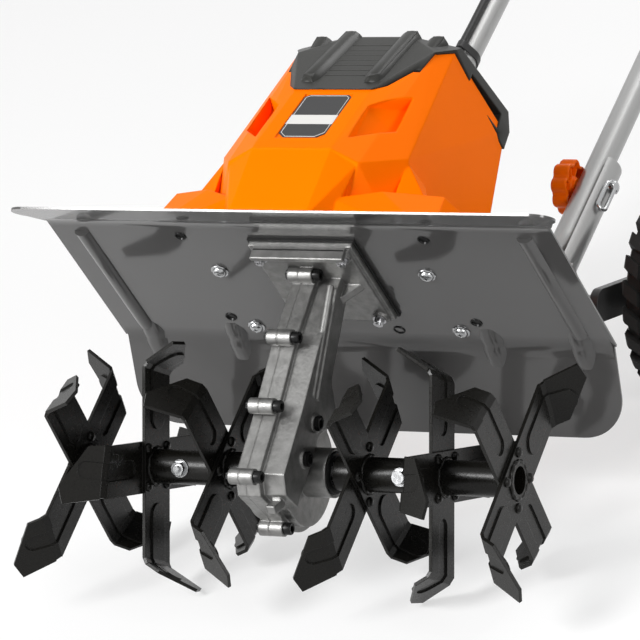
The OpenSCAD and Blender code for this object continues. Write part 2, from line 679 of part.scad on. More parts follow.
// Arm from the cross tube to the wheel, with its axle pin
module wheel_arm() color("#3a3a3a")
  translate([0, cross_y, cross_z]) rotate([arm_rise, 0, 0]) difference() {
    union() {
      x_bar(arm_h, arm_x, arm_x + arm_t);
      translate([0, arm_len, 0]) x_bar(arm_h, arm_x, arm_x + arm_t);
      translate([arm_x, 0, -arm_h / 2]) cube([arm_t, arm_len, arm_h]);
      translate([0, arm_len, 0]) x_bar(2 * pin_d, arm_x, wheel_x - 1);
      translate([0, arm_len, 0]) x_bar(pin_d, arm_x, wheel_x + wheel_w + 2);
    }
    x_bar(cross_d, arm_x - 1, arm_x + arm_t / 2);
  }

module wheel_arm_left() parked() wheel_arm();
module wheel_arm_right() parked() mirror([1, 0, 0]) wheel_arm();

// Wheels
module at_wheel() parked() translate([wheel_x, axle_y, axle_up]) rotate([0, 90, 0]) children();
rim_r = wheel_d / 2 - tyre_h;

hub_r = 16;
module wheel_rim() color("#262626")
  difference() {
    rotate_extrude() difference() {
      union() {
        square([hub_r, wheel_w]);
        translate([0, wheel_w / 2 - 4]) square([rim_r, 8]);
        translate([rim_r - 5, 2]) square([5, wheel_w - 4]);
      }
      translate([-1, -1]) square([1 + pin_d / 2 + pin_gap, wheel_w + 2]);
    }
    for (k = [0:5]) rotate([0, 0, 60 * k]) translate([(hub_r + rim_r - 5) / 2, 0, 1]) cylinder(d = 0.4 * rim_r, h = wheel_w - 2);
  }

module tyre() color("#161616")
  rotate_extrude()
  translate([rim_r, 0])
  polygon([[0, 2], [tyre_h - 6, 2], [tyre_h, 8], [tyre_h, wheel_w - 8], [tyre_h - 6, wheel_w - 2], [0, wheel_w - 2]]);

module wheel_rim_left() at_wheel() wheel_rim();
module tyre_left() at_wheel() tyre();
module wheel_rim_right() mirror([1, 0, 0]) at_wheel() wheel_rim();
module tyre_right() mirror([1, 0, 0]) at_wheel() tyre();

// Handle
// Lower handle: two legs and a crossbar, drawn as one bent bar
module lower_bar(d) {
  for (side = [-1, 1]) {
    translate([side * handle_x, 0, 0]) y_bar(d, -lower_tail, lower_len);
    mirror([side < 0 ? 1 : 0, 0, 0])
      translate([handle_x - tail_r, -lower_tail, 0])
      rotate([0, 0, 270])
      rotate_extrude(angle = 90)
      translate([tail_r, 0])
      circle(d = d);
  }
  translate([0, -lower_tail - tail_r, 0]) x_bar(d, -handle_x + tail_r, handle_x - tail_r);
}

module lower_handle() color("#b4b6b8")
  on_handle() difference() {
    lower_bar(handle_d);
    lower_bar(handle_d - 2 * handle_wall);
    x_bar(clamp_bolt_d + 2 * fold_gap, -200, 200);
    translate([0, clamp_s, 0]) x_bar(clamp_bolt_d, -200, 200);
  }

upper_x = handle_x + handle_d;
// Where the bolts join the lower and the upper handle
clamp_s = (upper_from + lower_len) / 2;
// Upper handle: two legs outside the lower ones and a bow at the top
module upper_bar(d) {
  for (side = [-1, 1]) {
    translate([side * upper_x, 0, 0]) y_bar(d, upper_from, upper_to - grip_r);
    mirror([side < 0 ? 1 : 0, 0, 0])
      translate([upper_x - grip_r, upper_to - grip_r, 0])
      rotate_extrude(angle = 90)
      translate([grip_r, 0])
      circle(d = d);
  }
  translate([0, upper_to, 0]) x_bar(d, -upper_x + grip_r, upper_x - grip_r);
}

module upper_handle() color("#b4b6b8")
  on_handle() difference() {
    upper_bar(handle_d);
    upper_bar(handle_d - 2 * handle_wall);
    translate([0, clamp_s, 0]) x_bar(clamp_bolt_d, -200, 200);
  }

// Foam sleeves on both legs below the bow
module handle_grip() color("#1c1c1c")
  translate([upper_x, 0, 0]) difference() {
    y_bar(grip_d, upper_to - grip_r - grip_len, upper_to - grip_r);
    y_bar(handle_d, upper_to - grip_r - grip_len - 1, upper_to - grip_r + 1);
  }

module handle_grip_left() on_handle() handle_grip();
module handle_grip_right() on_handle() mirror([1, 0, 0]) handle_grip();

// A round grip with six lobes along X
module lobes(d, from, to) {
  x_bar(d * 0.72, from, to);
  for (k = [0:5]) rotate([60 * k, 0, 0]) translate([0, d * 0.36, 0]) x_bar(d * 0.28, from, to);
}

// Bolts between lower and upper handle, each with a nut inside and a knob outside
module upper_clamp() {
  outside = upper_x + handle_d / 2;
  lobes(knob_d * 0.75, outside + 4, outside + 4 + knob_t);
  x_bar(knob_d * 0.36, outside, outside + 4.5);
  x_bar(clamp_bolt_d, handle_x - handle_d / 2 - 8, outside + 1);
  translate([handle_x - handle_d / 2 - 6, 0, 0]) rotate([0, 90, 0]) cylinder(d = clamp_bolt_d * 1.85, h = 6, $fn = 6);
}

module upper_clamps() color("#1c1c1c")
  on_handle() translate([0, clamp_s, 0]) {
    upper_clamp();
    mirror([1, 0, 0]) upper_clamp();
  }

// Switch box that straddles the bow of the handle
box_half = 40;
box_s = upper_to - 72;
module switch_box() color("#262626")
  on_handle() difference() {
    union() {
      translate([-box_half, box_s, -24]) cube([2 * box_half, 69, 48]);
      translate([-box_half + 8, box_s + 8, -30]) cube([2 * box_half - 16, 53, 60]);
    }
    translate([0, upper_to, 0]) x_bar(handle_d, -60, 60);
  }

// Safety lever: two arms beside the switch box and a bar under the bow
module switch_lever() color("#c8320a")
  on_handle() {
    translate([0, upper_to - 20, -38]) x_bar(10, -75, 75);
    for (side = [-1, 1]) mirror([side < 0 ? 1 : 0, 0, 0]) side_plate(box_half, box_half + 5)
      polygon([[upper_to - 56, -8], [upper_to - 48, 4], [upper_to - 15.5, -36], [upper_to - 24.5, -40]]);
  }

// Switch cable: along the handle to the fold axis, then in a slack bend to the rear of the housing
rear_at = 0.66 * housing_h;
rear_v = 26 + (housing_h - 18 - rear_at) * 13 / (0.4 * housing_h - 18);
rear_s = (rear_v - pivot_v) * cos(rail_turn) + (plate_n + rear_at - pivot_n) * sin(rail_turn);
rear_h = (plate_n + rear_at - pivot_n) * cos(rail_turn) - (rear_v - pivot_v) * sin(rail_turn);
rear_turn = atan2(13, 0.4 * housing_h - 18) - rail_turn;
cable_lift = handle_d / 2 + cable_d / 2 + 0.3;
// Radius of the swivel sleeve in the cable, which lies on the fold axis
joint_r = 0.75 * cable_d;
upper_route = [
  [-40, joint_r + 2 * fold_gap, 0], [-40, 22, -3], [-43, 42, -8], [-56, 68, -6], [-75, 100, 8], [-90, 134, cable_lift - 1],
  [-handle_x, 170, cable_lift], [-handle_x, 220, cable_lift], [-handle_x, 280, cable_lift], [-handle_x, clamp_s - 80, cable_lift],
  [-handle_x - 3, clamp_s - 35, cable_lift + 1], [-handle_x - 12, clamp_s + 5, cable_lift + 2],
  [-upper_x + 3, clamp_s + 45, cable_lift + 1], [-upper_x, clamp_s + 85, cable_lift], [-upper_x, box_s - 268, cable_lift],
  [-upper_x, box_s - 208, cable_lift], [-upper_x + 2, box_s - 158, cable_lift], [-upper_x + 14, box_s - 118, cable_lift + 2],
  [-84, box_s - 78, 14], [-52, box_s - 43, 4], [-30, box_s - 18, 0], [-28, box_s - 8, 0], [-28, box_s, 0]
];
lower_route = [
  [-40, rear_s, rear_h], [-40, rear_s + 14 * cos(rear_turn), rear_h + 14 * sin(rear_turn)],
  [-40, -123, 78], [-40, -101, 52], [-40, -73, 29], [-40, -39, 10.5], [-40, 0, 0]
];

// A smooth curve through the points of a route, and the rings of a tube round it
function curve(a, b, c, d, t) =
  0.5 * (2 * b + (c - a) * t + (2 * a - 5 * b + 4 * c - d) * t * t + (3 * b - a - 3 * c + d) * t * t * t);
function through(list, steps) = concat(
  [for (k = [0:len(list) - 2]) for (j = [0:steps - 1])
    curve(list[max(k - 1, 0)], list[k], list[k + 1], list[min(k + 2, len(list) - 1)], j / steps)],
  [list[len(list) - 1]]
);
function unit(q) = q / norm(q);
function heading(list, k) = unit(list[min(k + 1, len(list) - 1)] - list[max(k - 1, 0)]);
cable_sides = 10;
function ring(list, k, r) = let (t = heading(list, k), u = unit([1, 0, 0] - t[0] * t), w = cross(t, u))
  [for (j = [0:cable_sides - 1]) list[k] + r * (cos(360 * j / cable_sides) * u + sin(360 * j / cable_sides) * w)];

module tube_along(list, r) {
  n = len(list);
  polyhedron(
    points = [for (k = [0:n - 1]) each ring(list, k, r)],
    faces = concat(
      [[for (j = [0:cable_sides - 1]) j]],
      [for (k = [0:n - 2]) for (j = [0:cable_sides - 1]) let (a = k * cable_sides, i = (j + 1) % cable_sides)
        each [[a + j, a + cable_sides + j, a + cable_sides + i], [a + j, a + cable_sides + i, a + i]]],
      [[for (j = [0:cable_sides - 1]) n * cable_sides - 1 - j]]
    )
  );
}

module cable_upper() color("#161616") on_handle() tube_along(through(upper_route, 2), cable_d / 2);
module cable_lower() color("#161616") on_handle() {
  tube_along(through(lower_route, 3), cable_d / 2);
  translate([-40, 0, 0]) x_bar(2 * joint_r, -1.1 * cable_d, 1.1 * cable_d);
}

// Lobed knob on the inner side of each handle leg, with its bolt through leg and rail
module clamp_knob() color("#eb500a") {
  face = handle_x - handle_d / 2 - fold_gap;
  lobes(knob_d, face - 1.5 - knob_t, face - 1.5);
  x_bar(knob_d * 0.4, face - 2, face);
  x_bar(clamp_bolt_d, face - 1, strut_face + strut_bulge + 3);
}

module clamp_knob_left() on_handle() clamp_knob();
module clamp_knob_right() on_handle() mirror([1, 0, 0]) clamp_knob();

hood();
gearbox_gasket();
gearbox_body();
gearbox_cover();
output_shaft();
tine_tube_left();
tine_tube_right();
tine_disc_left_inner();
tine_disc_left_middle();
tine_disc_left_outer();
tine_disc_right_inner();
tine_disc_right_middle();
tine_disc_right_outer();
motor_block();
motor_housing();
top_cap();
frame_rail_left();
frame_rail_right();
wheel_cross_tube();
wheel_arm_left();
wheel_arm_right();
wheel_rim_left();
wheel_rim_right();
tyre_left();
tyre_right();
lower_handle();
upper_handle();
handle_grip_left();
handle_grip_right();
upper_clamps();
switch_box();
switch_lever();
cable_upper();
cable_lower();
clamp_knob_left();
clamp_knob_right();
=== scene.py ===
"""Looks of the electric rotavator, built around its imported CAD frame."""

import math

import bmesh
import bpy
from mathutils import Matrix, Vector


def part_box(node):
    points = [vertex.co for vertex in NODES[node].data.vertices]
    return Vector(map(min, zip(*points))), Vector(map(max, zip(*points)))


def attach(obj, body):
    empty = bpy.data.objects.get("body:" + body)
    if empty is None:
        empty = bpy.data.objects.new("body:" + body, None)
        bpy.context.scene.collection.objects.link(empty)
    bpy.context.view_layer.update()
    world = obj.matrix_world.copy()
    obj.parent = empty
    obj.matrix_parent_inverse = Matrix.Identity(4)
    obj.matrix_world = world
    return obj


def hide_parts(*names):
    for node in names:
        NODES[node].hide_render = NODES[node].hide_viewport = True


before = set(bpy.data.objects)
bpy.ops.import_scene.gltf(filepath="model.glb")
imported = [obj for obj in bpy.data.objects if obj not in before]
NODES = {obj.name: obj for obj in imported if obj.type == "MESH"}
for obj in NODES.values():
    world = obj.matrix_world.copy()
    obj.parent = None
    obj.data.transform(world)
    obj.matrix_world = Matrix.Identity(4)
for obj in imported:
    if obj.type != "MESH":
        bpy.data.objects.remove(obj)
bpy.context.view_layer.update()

# Placing: the same angles and sizes as the part's source, in metres and degrees
PARK_TILT = 22.5
HOOD_TILT = 36.0
HANDLE_TILT = 39.6
HOOD_N = 0.1655
SHEET_T = 0.002
PLATE_N = HOOD_N + SHEET_T
PIVOT_Y, PIVOT_Z = 0.415, 0.236
HANDLE_X, HANDLE_D = 0.0956, 0.025
UPPER_X = HANDLE_X + HANDLE_D
LOWER_LEN, UPPER_FROM, UPPER_TO = 0.44, 0.37, 0.89
CLAMP_S = (UPPER_FROM + LOWER_LEN) / 2
STRUT_OUT = 0.1174
BOX_S = UPPER_TO - 0.072
CABLE_D = 0.007
CABLE_LIFT = HANDLE_D / 2 + CABLE_D / 2 + 0.0003
CABLE_X = -0.04
HOUSING_H = 0.211
TUBE_R = 0.015
STRIP_T = 0.003
DISCS = ((0.066, 135), (0.138, 0), (0.204, 45))
BOSS_X, SHAFT_R = 0.037, 0.012


def middle(node):
    """Middle of a CAD node's box at rest."""
    low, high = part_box(node)
    return (Vector(low) + Vector(high)) / 2


AXIS = middle("output_shaft")
POSTURE = (
    Matrix.Translation((0, AXIS.y, AXIS.z))
    @ Matrix.Rotation(math.radians(-PARK_TILT), 4, "X")
)
ON_HOOD = POSTURE @ Matrix.Rotation(math.radians(-HOOD_TILT), 4, "X")
ON_HANDLE = (
    POSTURE
    @ Matrix.Translation((0, PIVOT_Y, PIVOT_Z))
    @ Matrix.Rotation(math.radians(HANDLE_TILT), 4, "X")
)


# Materials
NOISE_LOW, NOISE_HIGH = 0.3, 0.7
BUMP_DEPTH = 0.001
BEVEL_SAMPLES = 6


def node_tree(name):
    """A new material with a plain Principled shader, its nodes and its links."""
    material = bpy.data.materials.new(name)
    material.use_nodes = True
    return material, material.node_tree.nodes, material.node_tree.links


def surface(
    name, colour, rough, metal=0.0, coat=0.0, coat_rough=0.05, grain=120.0, bump=0.05, spread=0.12,
    rough_spread=0.05, blotch=9.0, edge=0.0, specular=0.5, ior=1.5,
):
    """A procedural finish: slow colour drift, fine grain in bump and gloss, and soft edges."""
    material, nodes, links = node_tree(name)
    shader = nodes["Principled BSDF"]
    shader.inputs["Metallic"].default_value = metal
    shader.inputs["Coat Weight"].default_value = coat
    shader.inputs["Coat Roughness"].default_value = coat_rough
    shader.inputs["Specular IOR Level"].default_value = specular
    shader.inputs["IOR"].default_value = ior
    coords = nodes.new("ShaderNodeTexCoord")
    slow = nodes.new("ShaderNodeTexNoise")
    slow.inputs["Scale"].default_value = blotch
    slow.inputs["Detail"].default_value = 4.0
    fine = nodes.new("ShaderNodeTexNoise")
    fine.inputs["Scale"].default_value = grain
    fine.inputs["Detail"].default_value = 3.0
    for noise in (slow, fine):
        links.new(coords.outputs["Object"], noise.inputs["Vector"])
    ramp = nodes.new("ShaderNodeValToRGB")
    low = [c * (1 - spread) for c in colour]
    high = [min(1.0, c * (1 + spread)) for c in colour]
    ends = ((NOISE_LOW, low), (NOISE_HIGH, high))
    for stop, (position, shade) in zip(ramp.color_ramp.elements, ends):
        stop.position = position
        stop.color = (*shade, 1)
    links.new(slow.outputs["Fac"], ramp.inputs["Fac"])
    links.new(ramp.outputs["Color"], shader.inputs["Base Color"])
    gloss = nodes.new("ShaderNodeMapRange")
    gloss.inputs["From Min"].default_value = NOISE_LOW
    gloss.inputs["From Max"].default_value = NOISE_HIGH
    gloss.inputs["To Min"].default_value = max(0.02, rough - rough_spread)
    gloss.inputs["To Max"].default_value = min(1.0, rough + rough_spread)
    links.new(fine.outputs["Fac"], gloss.inputs["Value"])
    links.new(gloss.outputs["Result"], shader.inputs["Roughness"])
    relief = nodes.new("ShaderNodeBump")
    relief.inputs["Strength"].default_value = bump
    relief.inputs["Distance"].default_value = BUMP_DEPTH
    links.new(fine.outputs["Fac"], relief.inputs["Height"])
    if edge > 0:
        soft = nodes.new("ShaderNodeBevel")
        soft.samples = BEVEL_SAMPLES
        soft.inputs["Radius"].default_value = edge
        links.new(soft.outputs["Normal"], relief.inputs["Normal"])
    links.new(relief.outputs["Normal"], shader.inputs["Normal"])
    return material


ORANGE = surface(
    "orange_plastic", (0.96, 0.162, 0.0), 0.36, grain=900, bump=0.01, spread=0.02, edge=0.003,
    specular=0.4, ior=1.08,
)
CAP = surface(
    "cap_plastic", (0.026, 0.026, 0.024), 0.34, grain=900, bump=0.03, spread=0.08, edge=0.0025,
    specular=0.14,
)
HOOD = surface(
    "hood_paint", (0.036, 0.035, 0.0345), 0.45, coat=1.0, coat_rough=0.08, bump=0.0, spread=0.02,
    rough_spread=0.0, specular=0.2,
)
TINE = surface(
    "tine_paint", (0.0045, 0.0042, 0.0034), 0.3, grain=420, bump=0.015, spread=0.2, edge=0.0008,
    specular=0.18,
)
ALLOY = surface(
    "cast_alloy", (0.2, 0.199, 0.194), 0.4, metal=0.8, grain=420, bump=0.14, spread=0.18,
    rough_spread=0.08, blotch=110.0, edge=0.0022,
)
SILVER = surface(
    "silver_paint", (0.36, 0.36, 0.356), 0.3, metal=0.65, bump=0.0, spread=0.03, rough_spread=0.0,
)
STEEL = surface(
    "turned_steel", (0.42, 0.42, 0.43), 0.28, metal=1.0, grain=260, bump=0.04, spread=0.1,
)
ZINC = surface("zinc_plate", (0.42, 0.425, 0.43), 0.22, metal=1.0, grain=300, bump=0.02, spread=0.1)
GASKET = surface(
    "gasket_black", (0.010, 0.010, 0.010), 0.5, grain=500, bump=0.1, spread=0.2, specular=0.2,
)
RUBBER = surface(
    "tyre_rubber", (0.014, 0.014, 0.0135), 0.6, grain=500, bump=0.14, spread=0.2, specular=0.2,
)
WHEEL = surface(
    "wheel_plastic", (0.016, 0.016, 0.016), 0.4, grain=600, bump=0.05, spread=0.15, edge=0.001,
    specular=0.3,
)
BRACKET = surface(
    "bracket_paint", (0.03, 0.03, 0.03), 0.36, grain=300, bump=0.03, spread=0.12, edge=0.001,
    specular=0.3,
)
KNOB = surface(
    "knob_plastic", (1.0, 0.15, 0.0), 0.36, grain=700, bump=0.02, spread=0.04, edge=0.0015,
    specular=0.5, ior=1.2,
)
FOAM = surface("foam_grip", (0.02, 0.02, 0.02), 0.8, grain=900, bump=0.3, spread=0.25)
BLACK = surface(
    "black_plastic", (0.016, 0.016, 0.016), 0.4, grain=700, bump=0.06, spread=0.15, edge=0.001,
    specular=0.3,
)
SOCKET = surface(
    "black_screw", (0.005, 0.005, 0.005), 0.3, grain=300, bump=0.03, spread=0.2, specular=0.2,
)
LABEL = surface(
    "label_plate", (0.03, 0.03, 0.031), 0.34, grain=700, bump=0.02, spread=0.06, specular=0.2,
)
LABEL_PALE = surface("label_pale", (0.62, 0.61, 0.59), 0.4, grain=700, bump=0.02, spread=0.03)

FINISHES = {
    "hood": HOOD, "gearbox_gasket": GASKET, "gearbox_body": ALLOY, "gearbox_cover": ALLOY,
    "output_shaft": STEEL, "tine": TINE, "motor_block": STEEL, "motor_housing": ORANGE,
    "top_cap": CAP, "frame_rail": SILVER, "wheel_cross": SILVER, "wheel_arm": BRACKET,
    "wheel_rim": WHEEL, "tyre": RUBBER, "lower_handle": SILVER, "upper_handle": SILVER,
    "handle_grip": FOAM, "upper_clamps": BLACK, "switch_box": BLACK, "switch_lever": KNOB,
    "cable": BLACK, "clamp_knob": KNOB,
}
for node, obj in NODES.items():
    for start, material in FINISHES.items():
        if node.startswith(start):
            obj.data.materials.clear()
            obj.data.materials.append(material)


# Mesh helpers
def piece(name, mesh_code, material, body, sharp=38):
    """A finished piece that rides on a CAD body."""
    bmesh.ops.remove_doubles(mesh_code, verts=mesh_code.verts, dist=1e-6)
    bmesh.ops.recalc_face_normals(mesh_code, faces=mesh_code.faces)
    mesh = bpy.data.meshes.new(name)
    mesh_code.to_mesh(mesh)
    mesh_code.free()
    for face in mesh.polygons:
        face.use_smooth = True
    mesh.set_sharp_from_angle(angle=math.radians(sharp))
    mesh.materials.append(material)
    obj = bpy.data.objects.new(name, mesh)
    bpy.context.collection.objects.link(obj)
    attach(obj, body)
    return obj


def facing(frame_matrix, place, direction):
    """A place in a frame whose Z axis looks in a direction of that frame."""
    turn = Vector(direction).to_track_quat("Z", "Y").to_matrix().to_4x4()
    return frame_matrix @ Matrix.Translation(place) @ turn


def outline_radius(shape, angle):
    """Factor on a ring's radius that makes it round, hexagonal, or a cross recess."""
    if shape == "hex":
        return 1 / math.cos(angle % (math.pi / 3) - math.pi / 6)
    if shape == "cross":
        return 0.36 + 0.64 * abs(math.cos(2 * angle)) ** 6
    return 1.0


def polar(at, radius, angle, height):
    """A point round the Z axis of a place."""
    return at @ Vector((radius * math.cos(angle), radius * math.sin(angle), height))


def skin(mesh, rings, closed=False):
    """Faces from ring to ring, with an end on the first and last unless they meet."""
    pairs = zip(rings, rings[1:] + rings[:1]) if closed else zip(rings, rings[1:])
    for low, high in pairs:
        for k in range(len(low)):
            j = (k + 1) % len(low)
            mesh.faces.new([low[k], low[j], high[j], high[k]])
    if not closed:
        mesh.faces.new(rings[0][::-1])
        mesh.faces.new(rings[-1])


def lathe(mesh, at, profile, steps=24):
    """Rings round the Z axis of a place, as radius, height and an optional outline.

    A ring of radius 0 is a point that closes the end.
    """
    rings = []
    for radius, height, *shape in profile:
        shape = shape[0] if shape else "round"
        if radius == 0:
            rings.append([mesh.verts.new(at @ Vector((0, 0, height)))])
            continue
        ring = []
        for k in range(steps):
            a = 2 * math.pi * k / steps
            ring.append(mesh.verts.new(polar(at, radius * outline_radius(shape, a), a, height)))
        rings.append(ring)
    for low, high in zip(rings, rings[1:]):
        for k in range(steps):
            corners = [low[k % len(low)], low[(k + 1) % steps % len(low)]]
            corners += [high[(k + 1) % steps % len(high)], high[k % len(high)]]
            mesh.faces.new(list(dict.fromkeys(corners)))


def block(mesh, at, corner, size, bevel):
    """A box with soft edges, from a corner in a place's own axes."""
    made = bmesh.ops.create_cube(mesh, size=1.0)["verts"]
    centre = Vector(corner) + Vector(size) / 2
    bmesh.ops.scale(mesh, vec=size, verts=made)
    bmesh.ops.translate(mesh, vec=centre, verts=made)
    bmesh.ops.transform(mesh, matrix=at, verts=made)
    edges = list({edge for vert in made for edge in vert.link_edges})
    bmesh.ops.bevel(
        mesh, geom=edges, offset=bevel, segments=2, profile=0.5, affect="EDGES", clamp_overlap=True,
    )


def slab(mesh, at, outline, low, high):
    """A flat outline in X and Y of a place, raised from one height to another."""
    rings = []
    for height in (low, high):
        rings.append([mesh.verts.new(at @ Vector((x, y, height))) for x, y in outline])
    skin(mesh, rings)


def smooth_route(points, steps):
    """A smooth curve through points, as the part's source draws it."""
    route = []
    last = len(points) - 1
    for k in range(last):
        a, b, c, d = (Vector(points[min(max(k + i, 0), last)]) for i in (-1, 0, 1, 2))
        square, cube = 2 * a - 5 * b + 4 * c - d, 3 * b - a - 3 * c + d
        for j in range(steps):
            t = j / steps
            route.append(0.5 * (2 * b + (c - a) * t + square * t**2 + cube * t**3))
    return route + [Vector(points[last])]


def tube(mesh, route, radius, sides=12, closed=False):
    """A round bar along a route of points."""
    count = len(route)
    angles = [2 * math.pi * j / sides for j in range(sides)]
    rings = []
    side = None
    for k, point in enumerate(route):
        ahead = route[(k + 1) % count] if closed or k + 1 < count else route[k]
        behind = route[k - 1] if closed or k > 0 else route[k]
        along = (ahead - behind).normalized()
        side = along.orthogonal() if side is None else side - along * side.dot(along)
        side.normalize()
        up = along.cross(side)
        spokes = [math.cos(a) * side + math.sin(a) * up for a in angles]
        rings.append([mesh.verts.new(point + radius * spoke) for spoke in spokes])
    skin(mesh, rings, closed)


# Fasteners, drawn upwards from the face that they sit on
def socket_screw(mesh, at, radius, height):
    """A cap screw with a hexagon socket."""
    socket = 0.5 * radius
    lathe(mesh, at, [
        (radius, 0), (radius, 0.86 * height), (0.9 * radius, height), (1.2 * socket, height),
        (socket, 0.96 * height, "hex"), (socket, 0.4 * height, "hex"), (0, 0.36 * height),
    ])


def pan_screw(mesh, at, radius, height):
    """A round-headed screw with a washer face and a cross recess."""
    lathe(mesh, at, [
        (1.25 * radius, 0), (1.28 * radius, 0.18 * height), (1.2 * radius, 0.3 * height),
        (radius, 0.34 * height), (0.94 * radius, 0.7 * height), (0.75 * radius, 0.92 * height),
        (0.6 * radius, height), (0.44 * radius, height, "cross"),
        (0.36 * radius, 0.7 * height, "cross"), (0, 0.64 * height),
    ], steps=32)


def hex_screw(mesh, at, half_flat, height, shank=0.0):
    """A washer, a hexagon head or nut and, with a shank, the bolt's end."""
    base, washer = 0.22 * height, 1.3 * half_flat
    lathe(mesh, at, [
        (washer, 0), (washer, 0.8 * base), (1.38 * half_flat, base), (1.1 * half_flat, base),
        (half_flat, base, "hex"), (half_flat, 0.88 * height, "hex"), (0.98 * half_flat, height),
        (0.6 * half_flat, height), (0.56 * half_flat, height + 0.85 * shank),
        (0.46 * half_flat, height + shank), (0, height + shank),
    ])


# Rotor: rivets and weld beads on every disc, and a bolt across each tube
rivets, welds = bmesh.new(), bmesh.new()
RIVET_AT, RIVET_R, RIVET_H = 0.0235, 0.0045, 0.0032
BEAD_R, BEAD_LIFT, BEAD_WAVE, BEAD_SWAY, BEAD_STEPS = 0.0021, 0.0008, 0.0004, 0.0003, 60
for side in (-1, 1):
    for disc_x, phase in DISCS:
        for face in (-1, 1):
            face_x = side * disc_x + face * STRIP_T
            for k in range(4):
                a = math.radians(phase + 45 + 90 * k)
                place = (face_x, RIVET_AT * math.cos(a), RIVET_AT * math.sin(a))
                lathe(rivets, facing(POSTURE, place, (face, 0, 0)), [
                    (RIVET_R, -0.0005), (RIVET_R, 0.0004), (0.9 * RIVET_R, 0.5 * RIVET_H),
                    (0.6 * RIVET_R, 0.9 * RIVET_H), (0, RIVET_H),
                ], steps=16)
            bead = []
            for k in range(BEAD_STEPS):
                a = 2 * math.pi * k / BEAD_STEPS
                r = TUBE_R + BEAD_LIFT + BEAD_WAVE * math.sin(17 * a + disc_x * 90)
                x = face_x + face * BEAD_SWAY * math.sin(11 * a)
                bead.append(POSTURE @ Vector((x, r * math.cos(a), r * math.sin(a))))
            tube(welds, bead, BEAD_R, sides=8, closed=True)
piece("tine_rivets", rivets, TINE, "rotor", sharp=50)
piece("tine_welds", welds, TINE, "rotor", sharp=80)

tube_bolts = bmesh.new()
BOLT_X, NUT_HALF, NUT_H, NUT_SINK, BOLT_END = 0.105, 0.0058, 0.0068, 0.0006, 0.003
for side in (-1, 1):
    for way in (-1, 1):
        place = facing(POSTURE, (side * BOLT_X, way * (TUBE_R - NUT_SINK), 0), (0, way, 0))
        hex_screw(tube_bolts, place, NUT_HALF, NUT_H, shank=BOLT_END if way == side else 0.0)
piece("tube_bolts", tube_bolts, ZINC, "rotor")

# Gearbox: case bolts, plugs, flange screws and shaft seals
FLANGE_FRONT, FLANGE_D, FLANGE_T, FLANGE_HALF = 0.110, 0.112, 0.008, 0.049
CASE_R, CASE_TOP = 0.052, HOOD_N - 0.0025
COLUMN_FRONT = 0.038 - FLANGE_FRONT
BOLT_PLACES = (
    (COLUMN_FRONT - 0.0055, CASE_TOP - 1.55 * FLANGE_T), (COLUMN_FRONT - 0.008, 1.63 * CASE_R),
    (COLUMN_FRONT - 0.0025, 0.36 * CASE_R), (COLUMN_FRONT + 0.001, -0.95 * CASE_R),
    (0.06 * CASE_R, -1.06 * CASE_R), (0.85 * CASE_R, 0.62 * CASE_R),
)
RIM_X, COVER_RIM_X, BODY_X = 0.0037, -0.019, 0.026
CASE_SCREW_R, CASE_SCREW_H, CASE_NUT_HALF, CASE_NUT_H = 0.0054, 0.0066, 0.004, 0.0035
CASE_PLUG_R, CASE_PLUG_H, SCREW_END = 0.0068, 0.0034, 0.001
case_bolts = bmesh.new()
for v, n in BOLT_PLACES:
    head = facing(ON_HOOD, (RIM_X, v, n), (1, 0, 0))
    nut = facing(ON_HOOD, (COVER_RIM_X, v, n), (-1, 0, 0))
    socket_screw(case_bolts, head, CASE_SCREW_R, CASE_SCREW_H)
    hex_screw(case_bolts, nut, CASE_NUT_HALF, CASE_NUT_H, shank=SCREW_END)
piece("case_bolts", case_bolts, SOCKET, "machine")

case_plugs = bmesh.new()
for n in (0.52 * CASE_R, -0.17 * CASE_R):
    place = facing(ON_HOOD, (BODY_X, -0.69 * CASE_R, n), (1, 0, 0))
    socket_screw(case_plugs, place, CASE_PLUG_R, CASE_PLUG_H)
piece("case_plugs", case_plugs, SOCKET, "machine")

flange_screws = bmesh.new()
PAD_INSET, PAD_H, PAD_NUT_HALF, PAD_NUT_H = 0.010, 0.003, 0.0044, 0.0056
for side in (-1, 1):
    for v in (PAD_INSET, FLANGE_D - PAD_INSET):
        place = (side * (FLANGE_HALF - PAD_INSET), v - FLANGE_FRONT, CASE_TOP - FLANGE_T - PAD_H)
        head = facing(ON_HOOD, place, (0, 0, -1))
        hex_screw(flange_screws, head, PAD_NUT_HALF, PAD_NUT_H, shank=SCREW_END)
piece("flange_screws", flange_screws, STEEL, "machine")

flange_seam = bmesh.new()
SEAM_INSET, SEAM_DROP, SEAM_OUT = 0.006, 0.0092, 0.0003
SEAM_SIZE = (2 * (FLANGE_HALF - SEAM_INSET), 0.001, 0.0014)
corner = (SEAM_INSET - FLANGE_HALF, -FLANGE_FRONT - SEAM_OUT, CASE_TOP - SEAM_DROP)
block(flange_seam, ON_HOOD, corner, SEAM_SIZE, 0.0002)
piece("flange_seam", flange_seam, GASKET, "machine")

seals = bmesh.new()
for side in (-1, 1):
    lathe(seals, facing(POSTURE, (side * BOSS_X, 0, 0), (side, 0, 0)), [
        (SHAFT_R + 0.0006, -0.001), (SHAFT_R + 0.0006, 0.0014), (0.0145, 0.0018), (0.016, 0.0012),
        (0.0178, 0.0016), (0.0188, 0.0008), (0.019, -0.001),
    ], steps=40)
piece("shaft_seals", seals, GASKET, "machine")

